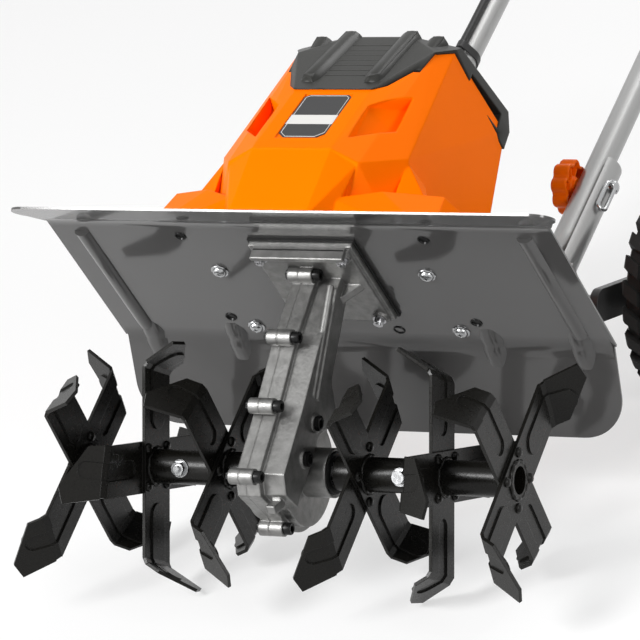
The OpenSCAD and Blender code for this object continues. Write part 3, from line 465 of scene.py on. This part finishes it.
# Hood: screws of the frame tabs on the underside, and plugs in the spare holes
hood_screws, hood_plugs = bmesh.new(), bmesh.new()
TAB_X, TAB_T, TAB_SCREW_R, TAB_SCREW_H = 0.0995, 0.003, 0.0064, 0.0046
for x in (-TAB_X, TAB_X):
    for v in (-0.059, 0.029):
        head = facing(ON_HOOD, (x, v, HOOD_N), (0, 0, -1))
        pan_screw(hood_screws, head, TAB_SCREW_R, TAB_SCREW_H)
        lathe(hood_screws, facing(ON_HOOD, (x, v, PLATE_N + TAB_T), (0, 0, 1)), [
            (0.008, 0), (0.008, 0.001), (0.0058, 0.0012), (0.0056, 0.0012, "hex"),
            (0.0056, 0.005, "hex"), (0.004, 0.0058), (0.003, 0.008), (0, 0.008),
        ])
PLUG_PLACES = [(side * x, v) for side in (-1, 1) for x, v in ((0.116, -0.112), (0.119, 0.0145))]
for x, v in PLUG_PLACES + [(0.04, 0.029)]:
    lathe(hood_plugs, facing(ON_HOOD, (x, v, HOOD_N), (0, 0, -1)), [
        (0.0049, -0.0018), (0.0049, 0), (0.0056, 0.0002), (0.0054, 0.0008), (0.0044, 0.001),
        (0.0036, -0.0006), (0, -0.0008),
    ])
piece("hood_screws", hood_screws, ZINC, "machine")
piece("hood_plugs", hood_plugs, SOCKET, "machine")

# Soft insides of the hood's two bends, and pressed gussets in the rear one
HOOD_FRONT, HOOD_BEND, HOOD_HALF = 0.133, 0.047, 0.239
FLANGE_ANGLE, SKIRT_ANGLE = math.radians(22), math.radians(34)
BEND_R, BEND_SINK, BEND_STEPS = 0.040, 0.0004, 10
GUSSET, GUSSET_W, GUSSET_SINK, GUSSET_ROWS, GUSSET_COLS = 0.0208, 0.012, 0.0003, 16, 12
BENDS = (
    (HOOD_BEND, 1, SKIRT_ANGLE, HOOD_HALF - 0.003),
    (-HOOD_FRONT, -1, FLANGE_ANGLE, HOOD_HALF - 0.0005),
)
bends, gussets = bmesh.new(), bmesh.new()
for corner_v, way, angle, half in BENDS:
    reach = BEND_R * math.tan(angle / 2)
    profile = [(0.0, BEND_SINK)]
    for k in range(BEND_STEPS + 1):
        a = angle * k / BEND_STEPS
        profile.append((-reach + BEND_R * math.sin(a), -BEND_R * (1 - math.cos(a))))
    ends = []
    for side in (-1, 1):
        edge = [Vector((side * half, corner_v + way * v, HOOD_N + n)) for v, n in profile]
        ends.append([bends.verts.new(ON_HOOD @ point) for point in edge])
    skin(bends, ends)
piece("hood_bends", bends, HOOD, "machine", sharp=60)
gusset_out = (-math.sin(SKIRT_ANGLE / 2), -math.cos(SKIRT_ANGLE / 2))
for x in (-0.87, -0.52, 0.52, 0.87):
    rows = []
    for i in range(GUSSET_ROWS + 1):
        t = i / GUSSET_ROWS
        along = GUSSET * 1.12 * abs(1 - 2 * t)
        base = (-along, 0.0)
        if t >= 0.5:
            base = (along * math.cos(SKIRT_ANGLE), -along * math.sin(SKIRT_ANGLE))
        lift = 1.2 * GUSSET * math.sin(SKIRT_ANGLE / 2) * (1 - abs(1 - 2 * t) ** 1.3)
        wide = GUSSET_W * (0.45 + 0.55 * math.sin(math.pi * t))
        row = []
        for k in range(GUSSET_COLS + 1):
            u = 2 * k / GUSSET_COLS - 1
            h = lift * (1 - abs(u) ** 3) - GUSSET_SINK
            v = HOOD_BEND + base[0] + h * gusset_out[0]
            n = HOOD_N + base[1] + h * gusset_out[1]
            row.append(gussets.verts.new(ON_HOOD @ Vector((x * HOOD_HALF + u * wide, v, n))))
        rows.append(row)
    for low, high in zip(rows, rows[1:]):
        for k in range(GUSSET_COLS):
            gussets.faces.new([low[k], low[k + 1], high[k + 1], high[k]])
    rim = [row[0] for row in rows] + rows[-1][1:]
    rim += [row[-1] for row in rows[-2::-1]] + rows[0][-2:0:-1]
    gussets.faces.new(rim)
piece("hood_gussets", gussets, HOOD, "machine", sharp=70)

# Housing: blank label, slats on the cap's slope and at the rear, and the gland of the cable
LABEL_W, LABEL_L, LABEL_T, LABEL_DEEP, WALL = 0.046, 0.071, 0.0008, 0.0012, 0.003
FRONT_TOP = 0.66 * HOUSING_H
FRONT_SLOPE = math.atan2(0.0375, FRONT_TOP - 0.050)
LABEL_PLACE = (
    ON_HOOD
    @ Matrix.Translation((0, -0.1345, PLATE_N + FRONT_TOP))
    @ Matrix.Rotation(-FRONT_SLOPE, 4, "X")
    @ Matrix.Translation((0, LABEL_DEEP, -LABEL_L / 2 - 3 * WALL))
    @ Matrix.Rotation(math.radians(90), 4, "X")
)


def clipped(half_w, half_l, clip):
    """An upright plate outline with clipped corners, the lower ones larger."""
    small = clip / 2
    return [
        (-half_w + clip, -half_l), (half_w - clip, -half_l),
        (half_w, -half_l + clip), (half_w, half_l - small),
        (half_w - small, half_l), (-half_w + small, half_l),
        (-half_w, half_l - small), (-half_w, -half_l + clip),
    ]


label, label_trim = bmesh.new(), bmesh.new()
half_w, half_l = LABEL_W / 2 - LABEL_T, LABEL_L / 2 - LABEL_T
slab(label, LABEL_PLACE, clipped(half_w, half_l, 0.007), 0, LABEL_T)
piece("label_plate", label, LABEL, "machine")
rim = clipped(half_w - 2 * LABEL_T, half_l - 2 * LABEL_T, 0.0065)
rim = [Vector((x, y, LABEL_T)) for x, y in rim]
tube(label_trim, [LABEL_PLACE @ point for point in rim], 0.00035, sides=6, closed=True)
band = [(-half_w, -0.013), (half_w, -0.013), (half_w, 0.0015), (-half_w, 0.0015)]
slab(label_trim, LABEL_PLACE, band, 0.0004, 0.00105)
piece("label_trim", label_trim, LABEL_PALE, "machine")

RIDGE_H = 0.012
CREST = HOUSING_H + 0.004 + RIDGE_H
slope_low = Vector((0, -0.1365, PLATE_N + FRONT_TOP - 0.002))
slope_high = Vector((0, -0.084, PLATE_N + CREST + 0.005))
slope = slope_high - slope_low
SLOPE_PLACE = (
    ON_HOOD @ Matrix.Translation(slope_low) @ Matrix.Rotation(math.atan2(slope.z, slope.y), 4, "X")
)
cap_slats = bmesh.new()
SLATS, SLAT_W, SLAT_L = 7, 0.039, 0.002
for k in range(SLATS):
    along = slope.length * (0.26 + 0.095 * k)
    corner = (-SLAT_W / 2, along - SLAT_L / 2, -0.001)
    block(cap_slats, SLOPE_PLACE, corner, (SLAT_W, SLAT_L, 0.0014), 0.0005)
piece("cap_slats", cap_slats, CAP, "machine")

# Rounded skins over the cap's ridges, each from its foot in front over its crest to its tail
cap_ridges = bmesh.new()
RIDGE_IN, RIDGE_OUT, RIDGE_DROP, RIDGE_SINK, RIDGE_STEPS = 0.012, 0.009, 0.0062, 0.012, 16
RIDGES = ((0.030, 0.0315, -0.1310, 0.0), (0.057, 0.0525, -0.1153, 0.006))
for side in (-1, 1):
    for crest_x, foot_x, foot_v, lower in RIDGES:
        foot = Vector((foot_x, foot_v, PLATE_N + 0.74 * HOUSING_H))
        crest = Vector((crest_x, -0.086, PLATE_N + CREST + 0.010 - lower))
        tail = Vector((crest_x, 0.004, PLATE_N + CREST + 0.008 - lower))
        climb = (crest - foot).normalized()
        ahead, upward = Vector((0, -climb.z, climb.y)), Vector((0, 0, 1))
        stations = [(foot - 0.006 * climb, ahead, -0.0058), (foot - 0.002 * climb, ahead, -0.0016)]
        stations += [(foot.lerp(crest, t), ahead, 0.0006) for t in (0.06, 0.3, 0.6, 0.88)]
        stations += [(crest, (ahead + upward).normalized(), 0.0002)]
        stations += [(crest.lerp(tail, t), upward, 0.0006) for t in (0.1, 0.5, 0.9)]
        for beyond, lift in ((0.004, -0.0016), (0.009, -0.0058)):
            stations.append((tail + Vector((0, beyond, 0)), upward, lift))
        rings = []
        for point, out, lift in stations:
            ring = []
            for k in range(RIDGE_STEPS + 1):
                u = 2 * k / RIDGE_STEPS - 1
                x = point.x + u * (RIDGE_OUT if u > 0 else RIDGE_IN)
                top = point + out * (lift - RIDGE_DROP * abs(u) ** 2.6)
                ring.append(cap_ridges.verts.new(ON_HOOD @ Vector((side * x, top.y, top.z))))
            for u in (1, -1):
                x = point.x + u * (RIDGE_OUT if u > 0 else RIDGE_IN)
                root = point + out * (lift - RIDGE_DROP - RIDGE_SINK)
                ring.append(cap_ridges.verts.new(ON_HOOD @ Vector((side * x, root.y, root.z))))
            rings.append(ring)
        skin(cap_ridges, rings)
piece("cap_ridges", cap_ridges, CAP, "machine", sharp=50)

REAR_LOW = Vector((0, 0.062, PLATE_N))
REAR_HIGH = Vector((0, 0.039, PLATE_N + 0.6 * HOUSING_H))
rear = REAR_HIGH - REAR_LOW
REAR_PLACE = (
    ON_HOOD
    @ Matrix.Translation(REAR_LOW)
    @ Matrix.Rotation(math.atan2(rear.z, rear.y) + math.pi, 4, "X")
)
REAR_HALF, REAR_BAR, REAR_SINK = 0.052, 0.006, 0.0012
rear_slats = bmesh.new()
for k in range(SLATS):
    corner = (-REAR_HALF, -rear.length * (0.28 + 0.09 * k) - REAR_BAR / 2, -REAR_SINK)
    block(rear_slats, REAR_PLACE, corner, (2 * REAR_HALF, REAR_BAR, 0.0034), 0.0012)
for x in (-REAR_HALF - REAR_BAR, REAR_HALF):
    corner = (x, -0.88 * rear.length, -REAR_SINK)
    block(rear_slats, REAR_PLACE, corner, (REAR_BAR, 0.66 * rear.length, 0.0044), 0.0014)
piece("rear_slats", rear_slats, BLACK, "machine")

GLAND_N = 0.66 * HOUSING_H
BACK_RISE, BACK_RUN = 0.4 * HOUSING_H - 0.018, 0.013
GLAND_V = 0.026 + (HOUSING_H - 0.018 - GLAND_N) * BACK_RUN / BACK_RISE
GLAND_OUT = (0, BACK_RISE, BACK_RUN)
gland = bmesh.new()
lathe(gland, facing(ON_HOOD, (CABLE_X, GLAND_V, PLATE_N + GLAND_N), GLAND_OUT), [
    (0.0095, -0.001), (0.0095, 0.002), (0.0085, 0.003), (0.0075, 0.003, "hex"),
    (0.0075, 0.008, "hex"), (0.0064, 0.009), (0.0052, 0.0095), (0.0046, 0.017), (0.0038, 0.018),
    (0.0036, 0.016),
])
piece("cable_gland", gland, BLACK, "machine")

# Cable: strapped along the handle, then slack from its swivel on the fold axis to the housing
JOINT_R = 0.75 * CABLE_D
UPPER_ROUTE = (
    (CABLE_X, JOINT_R + 0.0006, 0), (CABLE_X, 0.022, -0.003), (-0.043, 0.042, -0.008),
    (-0.056, 0.068, -0.006), (-0.075, 0.100, 0.008), (-0.090, 0.134, CABLE_LIFT - 0.001),
    (-HANDLE_X, 0.170, CABLE_LIFT), (-HANDLE_X, 0.220, CABLE_LIFT), (-HANDLE_X, 0.280, CABLE_LIFT),
    (-HANDLE_X, CLAMP_S - 0.080, CABLE_LIFT),
    (-HANDLE_X - 0.003, CLAMP_S - 0.035, CABLE_LIFT + 0.001),
    (-HANDLE_X - 0.012, CLAMP_S + 0.005, CABLE_LIFT + 0.002),
    (-UPPER_X + 0.003, CLAMP_S + 0.045, CABLE_LIFT + 0.001),
    (-UPPER_X, CLAMP_S + 0.085, CABLE_LIFT), (-UPPER_X, BOX_S - 0.268, CABLE_LIFT),
    (-UPPER_X, BOX_S - 0.208, CABLE_LIFT), (-UPPER_X + 0.002, BOX_S - 0.158, CABLE_LIFT),
    (-UPPER_X + 0.014, BOX_S - 0.118, CABLE_LIFT + 0.002), (-0.084, BOX_S - 0.078, 0.014),
    (-0.052, BOX_S - 0.043, 0.004), (-0.030, BOX_S - 0.018, 0), (-0.028, BOX_S - 0.008, 0),
    (-0.028, BOX_S, 0),
)
cable = bmesh.new()
tube(cable, [ON_HANDLE @ point for point in smooth_route(UPPER_ROUTE, 6)], CABLE_D / 2, sides=14)
upper_cable = piece("switch_cable_upper", cable, BLACK, "handle", sharp=60)
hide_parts("cable_upper")

GLAND_PLACE = ON_HANDLE.inverted() @ ON_HOOD @ Vector((CABLE_X, GLAND_V, PLATE_N + GLAND_N))
GLAND_WAY = ON_HANDLE.inverted().to_3x3() @ ON_HOOD.to_3x3() @ Vector(GLAND_OUT).normalized()
LOWER_ROUTE = (
    GLAND_PLACE, GLAND_PLACE + 0.014 * GLAND_WAY, (CABLE_X, -0.123, 0.078),
    (CABLE_X, -0.101, 0.052), (CABLE_X, -0.073, 0.029), (CABLE_X, -0.039, 0.0105), (CABLE_X, 0, 0),
)
slack = [ON_HANDLE @ point for point in smooth_route(LOWER_ROUTE, 10)]
cable = bmesh.new()
tube(cable, slack, CABLE_D / 2, sides=16)
lower_cable = piece("switch_cable_lower", cable, BLACK, "machine", sharp=60)
swivel = bmesh.new()
SWIVEL_L, SWIVEL_EDGE, GROOVE = 2.2 * CABLE_D, 0.0008, 0.0005
lathe(swivel, facing(ON_HANDLE, (CABLE_X - SWIVEL_L / 2, 0, 0), (1, 0, 0)), [
    (0, 0), (JOINT_R - SWIVEL_EDGE, 0), (JOINT_R, SWIVEL_EDGE),
    (JOINT_R, 0.0066), (JOINT_R - GROOVE, 0.0072), (JOINT_R - GROOVE, 0.0082), (JOINT_R, 0.0088),
    (JOINT_R, SWIVEL_L - SWIVEL_EDGE), (JOINT_R - SWIVEL_EDGE, SWIVEL_L), (0, SWIVEL_L),
])
cable_swivel = piece("cable_swivel", swivel, BLACK, "machine")
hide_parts("cable_lower")

STRAP_GAP, STRAP_R, STRAP_W, STRAP_STEPS = 0.0002, 0.0012, 0.009, 40


def strap(mesh, x, s):
    """A band round a handle tube and the cable on top of it."""
    rings = ([], [])
    half = Vector((0, STRAP_W / 2, 0))
    for k in range(STRAP_STEPS):
        a = 2 * math.pi * k / STRAP_STEPS
        out = Vector((math.cos(a), 0, math.sin(a)))
        centres = ((Vector((x, s, 0)), HANDLE_D / 2), (Vector((x, s, CABLE_LIFT)), CABLE_D / 2))
        centre, r = max(centres, key=lambda c: c[0].dot(out) + c[1])
        for ring, add in zip(rings, (STRAP_GAP, STRAP_R)):
            ring.append(centre + out * (r + add))
    for k in range(STRAP_STEPS):
        j = (k + 1) % STRAP_STEPS
        inner, outer = (rings[0][k], rings[0][j]), (rings[1][k], rings[1][j])
        for a, b, c, d in (
            (outer[0] - half, outer[1] - half, outer[1] + half, outer[0] + half),
            (outer[0] + half, outer[1] + half, inner[1] + half, inner[0] + half),
            (inner[0] - half, inner[1] - half, outer[1] - half, outer[0] - half),
            (inner[0] + half, inner[1] + half, inner[1] - half, inner[0] - half),
        ):
            mesh.faces.new([mesh.verts.new(ON_HANDLE @ p) for p in (a, b, c, d)])


straps = bmesh.new()
for x, s in (
    (-HANDLE_X, 0.185), (-HANDLE_X, 0.315), (-UPPER_X, CLAMP_S + 0.1), (-UPPER_X, BOX_S - 0.21),
):
    strap(straps, x, s)
piece("cable_straps", straps, BLACK, "handle", sharp=50)

# Handle: plugs in the tubes' ends
plugs = bmesh.new()
for side in (-1, 1):
    for x, s, way in ((HANDLE_X, LOWER_LEN, 1), (UPPER_X, UPPER_FROM, -1)):
        lathe(plugs, facing(ON_HANDLE, (side * x, s, 0), (0, way, 0)), [
            (0.0105, -0.006), (0.0105, 0), (0.0124, 0), (0.0124, 0.0016), (0.0112, 0.0034),
            (0.007, 0.0046), (0, 0.005),
        ])
piece("tube_plugs", plugs, BLACK, "handle")

# Each clamp bolt ends in a dome nut with a wire loop below it
loops, nuts = bmesh.new(), bmesh.new()
LOOP_HALF, LOOP_R, LOOP_ROD, LOOP_STEPS = 0.0125, 0.0046, 0.0021, 32
LOOP_PLACE = Vector((STRUT_OUT + 0.0024, -0.0205, 0.0070))
for side in (-1, 1):
    route = []
    for k in range(LOOP_STEPS):
        a = 2 * math.pi * (k + 0.5) / LOOP_STEPS
        across, along = LOOP_R * math.cos(a), LOOP_R * math.sin(a)
        along += LOOP_HALF if along > 0 else -LOOP_HALF
        point = LOOP_PLACE + Vector((0.56 * across, along, -0.83 * across))
        route.append(ON_HANDLE @ Vector((side * point.x, point.y, point.z)))
    tube(loops, route, LOOP_ROD, sides=12, closed=True)
    lathe(nuts, facing(ON_HANDLE, (side * STRUT_OUT, 0, 0), (side, 0, 0)), [
        (0.0042, -0.001), (0.0072, -0.001), (0.0072, 0.0008), (0.0058, 0.001),
        (0.0056, 0.001, "hex"), (0.0056, 0.0036, "hex"), (0.0052, 0.0046), (0.0036, 0.0056),
        (0, 0.006),
    ])
piece("clamp_loops", loops, ZINC, "machine", sharp=60)
piece("strut_nuts", nuts, ZINC, "machine")

# Clamp knobs: a lobed cup that is open towards the leg, with a hub and ribs
KNOB_R, KNOB_T, KNOB_WALL, KNOB_GAP = 0.0255, 0.016, 0.0032, 0.0015
KNOB_FACE = HANDLE_X - HANDLE_D / 2 - 0.0003
STUD_R, STUD_OUT = 0.004, 0.012
HUB_R, RIB_T, LOBES, KNOB_STEPS = 0.4 * KNOB_R, 0.0022, 8, 96


def lobed(angle, shrink):
    """Radius of the knob's round lobes at an angle, less a wall."""
    turned = (angle + math.pi / LOBES) % (2 * math.pi / LOBES) - math.pi / LOBES
    at, r = 0.72 * KNOB_R, 0.28 * KNOB_R
    side_way = at * math.sin(turned)
    lobe = 0.0
    if abs(side_way) < r:
        lobe = at * math.cos(turned) + math.sqrt(r * r - side_way * side_way)
    return max(0.86 * KNOB_R, lobe) - shrink


for side, name in ((1, "left"), (-1, "right")):
    knob = bmesh.new()
    at = facing(ON_HANDLE, (side * KNOB_FACE, 0, 0), (side, 0, 0))
    low, high = -KNOB_GAP - KNOB_T, -KNOB_GAP
    rings = []
    for shrink, height in (
        (0.011, low), (0.0035, low), (0.0012, low + 0.0008), (0, low + 0.0026), (0, high - 0.001),
        (0.0007, high), (KNOB_WALL - 0.0006, high), (KNOB_WALL, high - 0.0008),
        (KNOB_WALL + 0.0006, low + 0.004), (0.012, low + 0.0036),
    ):
        angles = [2 * math.pi * k / KNOB_STEPS for k in range(KNOB_STEPS)]
        rings.append([knob.verts.new(polar(at, lobed(a, shrink), a, height)) for a in angles])
    skin(knob, rings)
    lathe(knob, at, [
        (HUB_R + 0.0006, low + 0.0034), (HUB_R, high - 0.002), (HUB_R - 0.0008, high - 0.001),
        (0.0085, high - 0.001), (0.0082, 0), (0.0046, 0), (0.0044, high - 0.004), (0, high - 0.004),
    ], steps=40)
    rib_in, rib_out = HUB_R - 0.001, lobed(math.pi / LOBES, KNOB_WALL) + 0.0008
    for k in range(LOBES):
        rib = at @ Matrix.Rotation(2 * math.pi * (k + 0.5) / LOBES, 4, "Z")
        corner = (rib_in, -RIB_T / 2, low + 0.003)
        block(knob, rib, corner, (rib_out - rib_in, RIB_T, KNOB_T - 0.006), 0.0004)
    lathe(knob, at, [
        (STUD_R, high - 0.006), (STUD_R, HANDLE_D + STUD_OUT), (0, HANDLE_D + STUD_OUT),
    ], steps=16)
    cup = piece("clamp_knob_cup_" + name, knob, KNOB, "machine", sharp=32)
    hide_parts("clamp_knob_" + name)

# Switch box: screws, lock button and mains inlet
BOX_TOP = 0.030
BOX_SCREW_X, BOX_SCREW_R, BOX_SCREW_H, BOX_SCREW_SINK = 0.026, 0.0026, 0.0018, 0.0009
switch_screws = bmesh.new()
for x in (-BOX_SCREW_X, BOX_SCREW_X):
    for s in (0.014, 0.055):
        head = facing(ON_HANDLE, (x, BOX_S + s, BOX_TOP - BOX_SCREW_SINK), (0, 0, 1))
        pan_screw(switch_screws, head, BOX_SCREW_R, BOX_SCREW_H)
piece("switch_screws", switch_screws, SOCKET, "handle")
switch_button = bmesh.new()
lathe(switch_button, facing(ON_HANDLE, (0, BOX_S + 0.034, BOX_TOP), (0, 0, 1)), [
    (0.0115, -0.001), (0.0115, 0.0014), (0.0105, 0.002), (0.0088, 0.002), (0.0086, 0.0034),
    (0.0076, 0.0044), (0.004, 0.004), (0, 0.0038),
], steps=32)
piece("switch_button", switch_button, KNOB, "handle")
inlet = bmesh.new()
INLET_X, INLET_DEEP, PIN_X, PIN_R = 0.018, 0.008, 0.005, 0.002
lathe(inlet, facing(ON_HANDLE, (INLET_X, BOX_S, 0), (0, -1, 0)), [
    (0.0175, -0.001), (0.0175, 0.006), (0.0165, 0.007), (0.0155, 0.030), (0.0146, 0.031),
    (0.0138, 0.030), (0.0138, INLET_DEEP), (0, INLET_DEEP),
], steps=32)
for x in (-PIN_X, PIN_X):
    lathe(inlet, facing(ON_HANDLE, (INLET_X + x, BOX_S - INLET_DEEP, 0), (0, -1, 0)), [
        (PIN_R, -0.001), (PIN_R, 0.015), (0.7 * PIN_R, 0.0165), (0, 0.0168),
    ], steps=12)
piece("mains_inlet", inlet, BLACK, "handle")

# Wheels: tyres with block tread, and caps on the axle pins
WHEEL_R, WHEEL_X, WHEEL_W, TYRE_H = 0.088, 0.1665, 0.040, 0.020
RIM_R = WHEEL_R - TYRE_H
CAP_GAP = 0.0008
LUGS, LUG_BASE, LUG_FOOT, LUG_FOOT_ACROSS = 22, 0.0815, 0.0795, 0.0165
LUG_HALF = math.pi / LUGS
# Reach, place across the tyre and turn of a lug's corners: shoulder, outer edge and inner edge
LUG_ROWS = (
    (0.0755, 0.0178, 0.0), (0.0850, 0.0176, 0.0), (0.0876, 0.0152, 0.02), (0.0879, 0.0026, 0.13),
    (LUG_BASE, 0.0014, 0.13),
)
for side, name in ((1, "left"), (-1, "right")):
    centre = middle("tyre_" + name)
    centre.x = side * (WHEEL_X + WHEEL_W / 2)
    at = Matrix.Translation(centre) @ Matrix.Rotation(math.radians(90 * side), 4, "Y")
    tyre = bmesh.new()
    lathe(tyre, at, [
        (RIM_R, -0.0155), (RIM_R + 0.004, -0.0175), (0.0765, -0.0172), (0.0805, -0.0145),
        (0.0820, -0.006), (0.0824, 0), (0.0820, 0.006), (0.0805, 0.0145), (0.0765, 0.0172),
        (RIM_R + 0.004, 0.0175), (RIM_R, 0.0155), (RIM_R, -0.0155),
    ], steps=44)
    for half in (-1, 1):
        for k in range(LUGS):
            a = 2 * math.pi * (k + (0.25 if half > 0 else 0.75)) / LUGS
            grid = []
            for reach, across, turn in LUG_ROWS:
                row = []
                for edge in (-1, 1):
                    b = a + turn + edge * LUG_HALF * (0.5 if reach > LUG_BASE else 0.62)
                    row.append(tyre.verts.new(polar(at, reach, b, half * across)))
                grid.append(row)
            for low, high in zip(grid, grid[1:]):
                tyre.faces.new([low[0], low[1], high[1], high[0]])
            for e in (0, 1):
                foot = []
                for _, across, turn in LUG_ROWS:
                    b = a + turn + (-1, 1)[e] * LUG_HALF * 0.66
                    across = half * min(across, LUG_FOOT_ACROSS)
                    foot.append(tyre.verts.new(polar(at, LUG_FOOT, b, across)))
                for i in range(len(LUG_ROWS) - 1):
                    tyre.faces.new([grid[i][e], grid[i + 1][e], foot[i + 1], foot[i]])
    tread = piece("tyre_tread_" + name, tyre, RUBBER, "wheel_" + name, sharp=30)
    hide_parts("tyre_" + name)
    caps = bmesh.new()
    hub = (side * (WHEEL_X + WHEEL_W + CAP_GAP), centre.y, centre.z)
    lathe(caps, facing(Matrix.Identity(4), hub, (side, 0, 0)), [
        (0.006, 0), (0.011, 0), (0.0112, 0.0016), (0.0094, 0.0026), (0.0088, 0.005),
        (0.006, 0.0068), (0, 0.0074),
    ])
    piece("axle_cap_" + name, caps, BLACK, "machine")

# Floor, light and camera
FLOOR_HALF, FLOOR_GREY, FLOOR_GLOW = 30.0, 0.82, 0.6
WORLD_LIGHT, WORLD_SEEN = 0.2, 1.0
floor_mesh = bpy.data.meshes.new("floor")
corners = [(x * FLOOR_HALF, y * FLOOR_HALF, 0) for x, y in ((-1, -1), (1, -1), (1, 1), (-1, 1))]
floor_mesh.from_pydata(corners, [], [(0, 1, 2, 3)])
floor = bpy.data.objects.new("floor", floor_mesh)
bpy.context.collection.objects.link(floor)


def direct_view(nodes, links):
    """1 on rays from the camera, in mirrors and through glass, else 0."""
    path = nodes.new("ShaderNodeLightPath")
    first = nodes.new("ShaderNodeMath")
    first.operation = "ADD"
    second = nodes.new("ShaderNodeMath")
    second.operation = "ADD"
    second.use_clamp = True
    links.new(path.outputs["Is Camera Ray"], first.inputs[0])
    links.new(path.outputs["Is Glossy Ray"], first.inputs[1])
    links.new(first.outputs[0], second.inputs[0])
    links.new(path.outputs["Is Transmission Ray"], second.inputs[1])
    return second.outputs[0]


floor_paint, nodes, links = node_tree("floor_paint")
paint = nodes["Principled BSDF"]
paint.inputs["Base Color"].default_value = (FLOOR_GREY, FLOOR_GREY, FLOOR_GREY, 1)
paint.inputs["Roughness"].default_value = 0.9
glow = nodes.new("ShaderNodeEmission")
glow.inputs["Strength"].default_value = 1.0
blend = nodes.new("ShaderNodeMixShader")
share = nodes.new("ShaderNodeMath")
share.operation = "MULTIPLY"
share.inputs[1].default_value = FLOOR_GLOW
links.new(direct_view(nodes, links), share.inputs[0])
links.new(share.outputs[0], blend.inputs["Fac"])
links.new(paint.outputs[0], blend.inputs[1])
links.new(glow.outputs[0], blend.inputs[2])
links.new(blend.outputs[0], nodes["Material Output"].inputs["Surface"])
floor_mesh.materials.append(floor_paint)

world = bpy.data.worlds.new("studio")
bpy.context.scene.world = world
world.use_nodes = True
nodes, links = world.node_tree.nodes, world.node_tree.links
sky = nodes["Background"]
sky.inputs["Color"].default_value = (1, 1, 1, 1)
strength = nodes.new("ShaderNodeMapRange")
strength.inputs["To Min"].default_value = WORLD_LIGHT
strength.inputs["To Max"].default_value = WORLD_SEEN
links.new(direct_view(nodes, links), strength.inputs["Value"])
links.new(strength.outputs["Result"], sky.inputs["Strength"])


def lamp(name, place, target, size, watts):
    """A soft square studio light aimed at a point."""
    data = bpy.data.lights.new(name, "AREA")
    data.size = size
    data.energy = watts
    obj = bpy.data.objects.new(name, data)
    obj.location = place
    obj.rotation_euler = (Vector(target) - Vector(place)).to_track_quat("-Z", "Y").to_euler()
    bpy.context.collection.objects.link(obj)


FRONT_TARGET = (0, -0.5, 0.3)
lamp("key", (-1.3, -2.8, 2.2), FRONT_TARGET, 1.2, 135)
lamp("side", (2.6, -1.6, 1.5), FRONT_TARGET, 1.0, 34)
lamp("low", (-2.0, -2.8, 0.5), (-0.1, -0.5, 0.25), 1.0, 26)
lamp("rear", (0.5, 2.8, 2.6), (0, 0, 0.4), 2.0, 70)

# The photograph's camera: its bearing and height in the working posture, and the rotor's pixel
VIEW_AZ, VIEW_EL = math.radians(26.4012), math.radians(4.6033)
VIEW_FAR = 4.2499
FOCAL_PX = 4961.76
AXIS_PX = (296.932, 471.525)
IMAGE_PX = 640
SENSOR_MM = 36.0
CLIP_END = 100
level = math.cos(VIEW_EL)
back = Vector((math.sin(VIEW_AZ) * level, -math.cos(VIEW_AZ) * level, math.sin(VIEW_EL)))
right = Vector((math.cos(VIEW_AZ), math.sin(VIEW_AZ), 0))
up = back.cross(right)
aim = -back * FOCAL_PX + right * (IMAGE_PX / 2 - AXIS_PX[0]) + up * (AXIS_PX[1] - IMAGE_PX / 2)
turn = POSTURE.to_3x3()
behind = (turn @ -aim).normalized()
across = (turn @ up).cross(behind).normalized()
camera_data = bpy.data.cameras.new("camera")
camera_data.sensor_width = SENSOR_MM
camera_data.lens = FOCAL_PX / IMAGE_PX * SENSOR_MM
camera = bpy.data.objects.new("camera", camera_data)
axes = Matrix((across, behind.cross(across), behind)).transposed()
camera.matrix_world = Matrix.Translation(POSTURE @ (back * VIEW_FAR)) @ axes.to_4x4()
camera_data.clip_end = CLIP_END
bpy.context.collection.objects.link(camera)
bpy.context.scene.camera = camera
bpy.context.scene.view_settings.view_transform = "Standard"
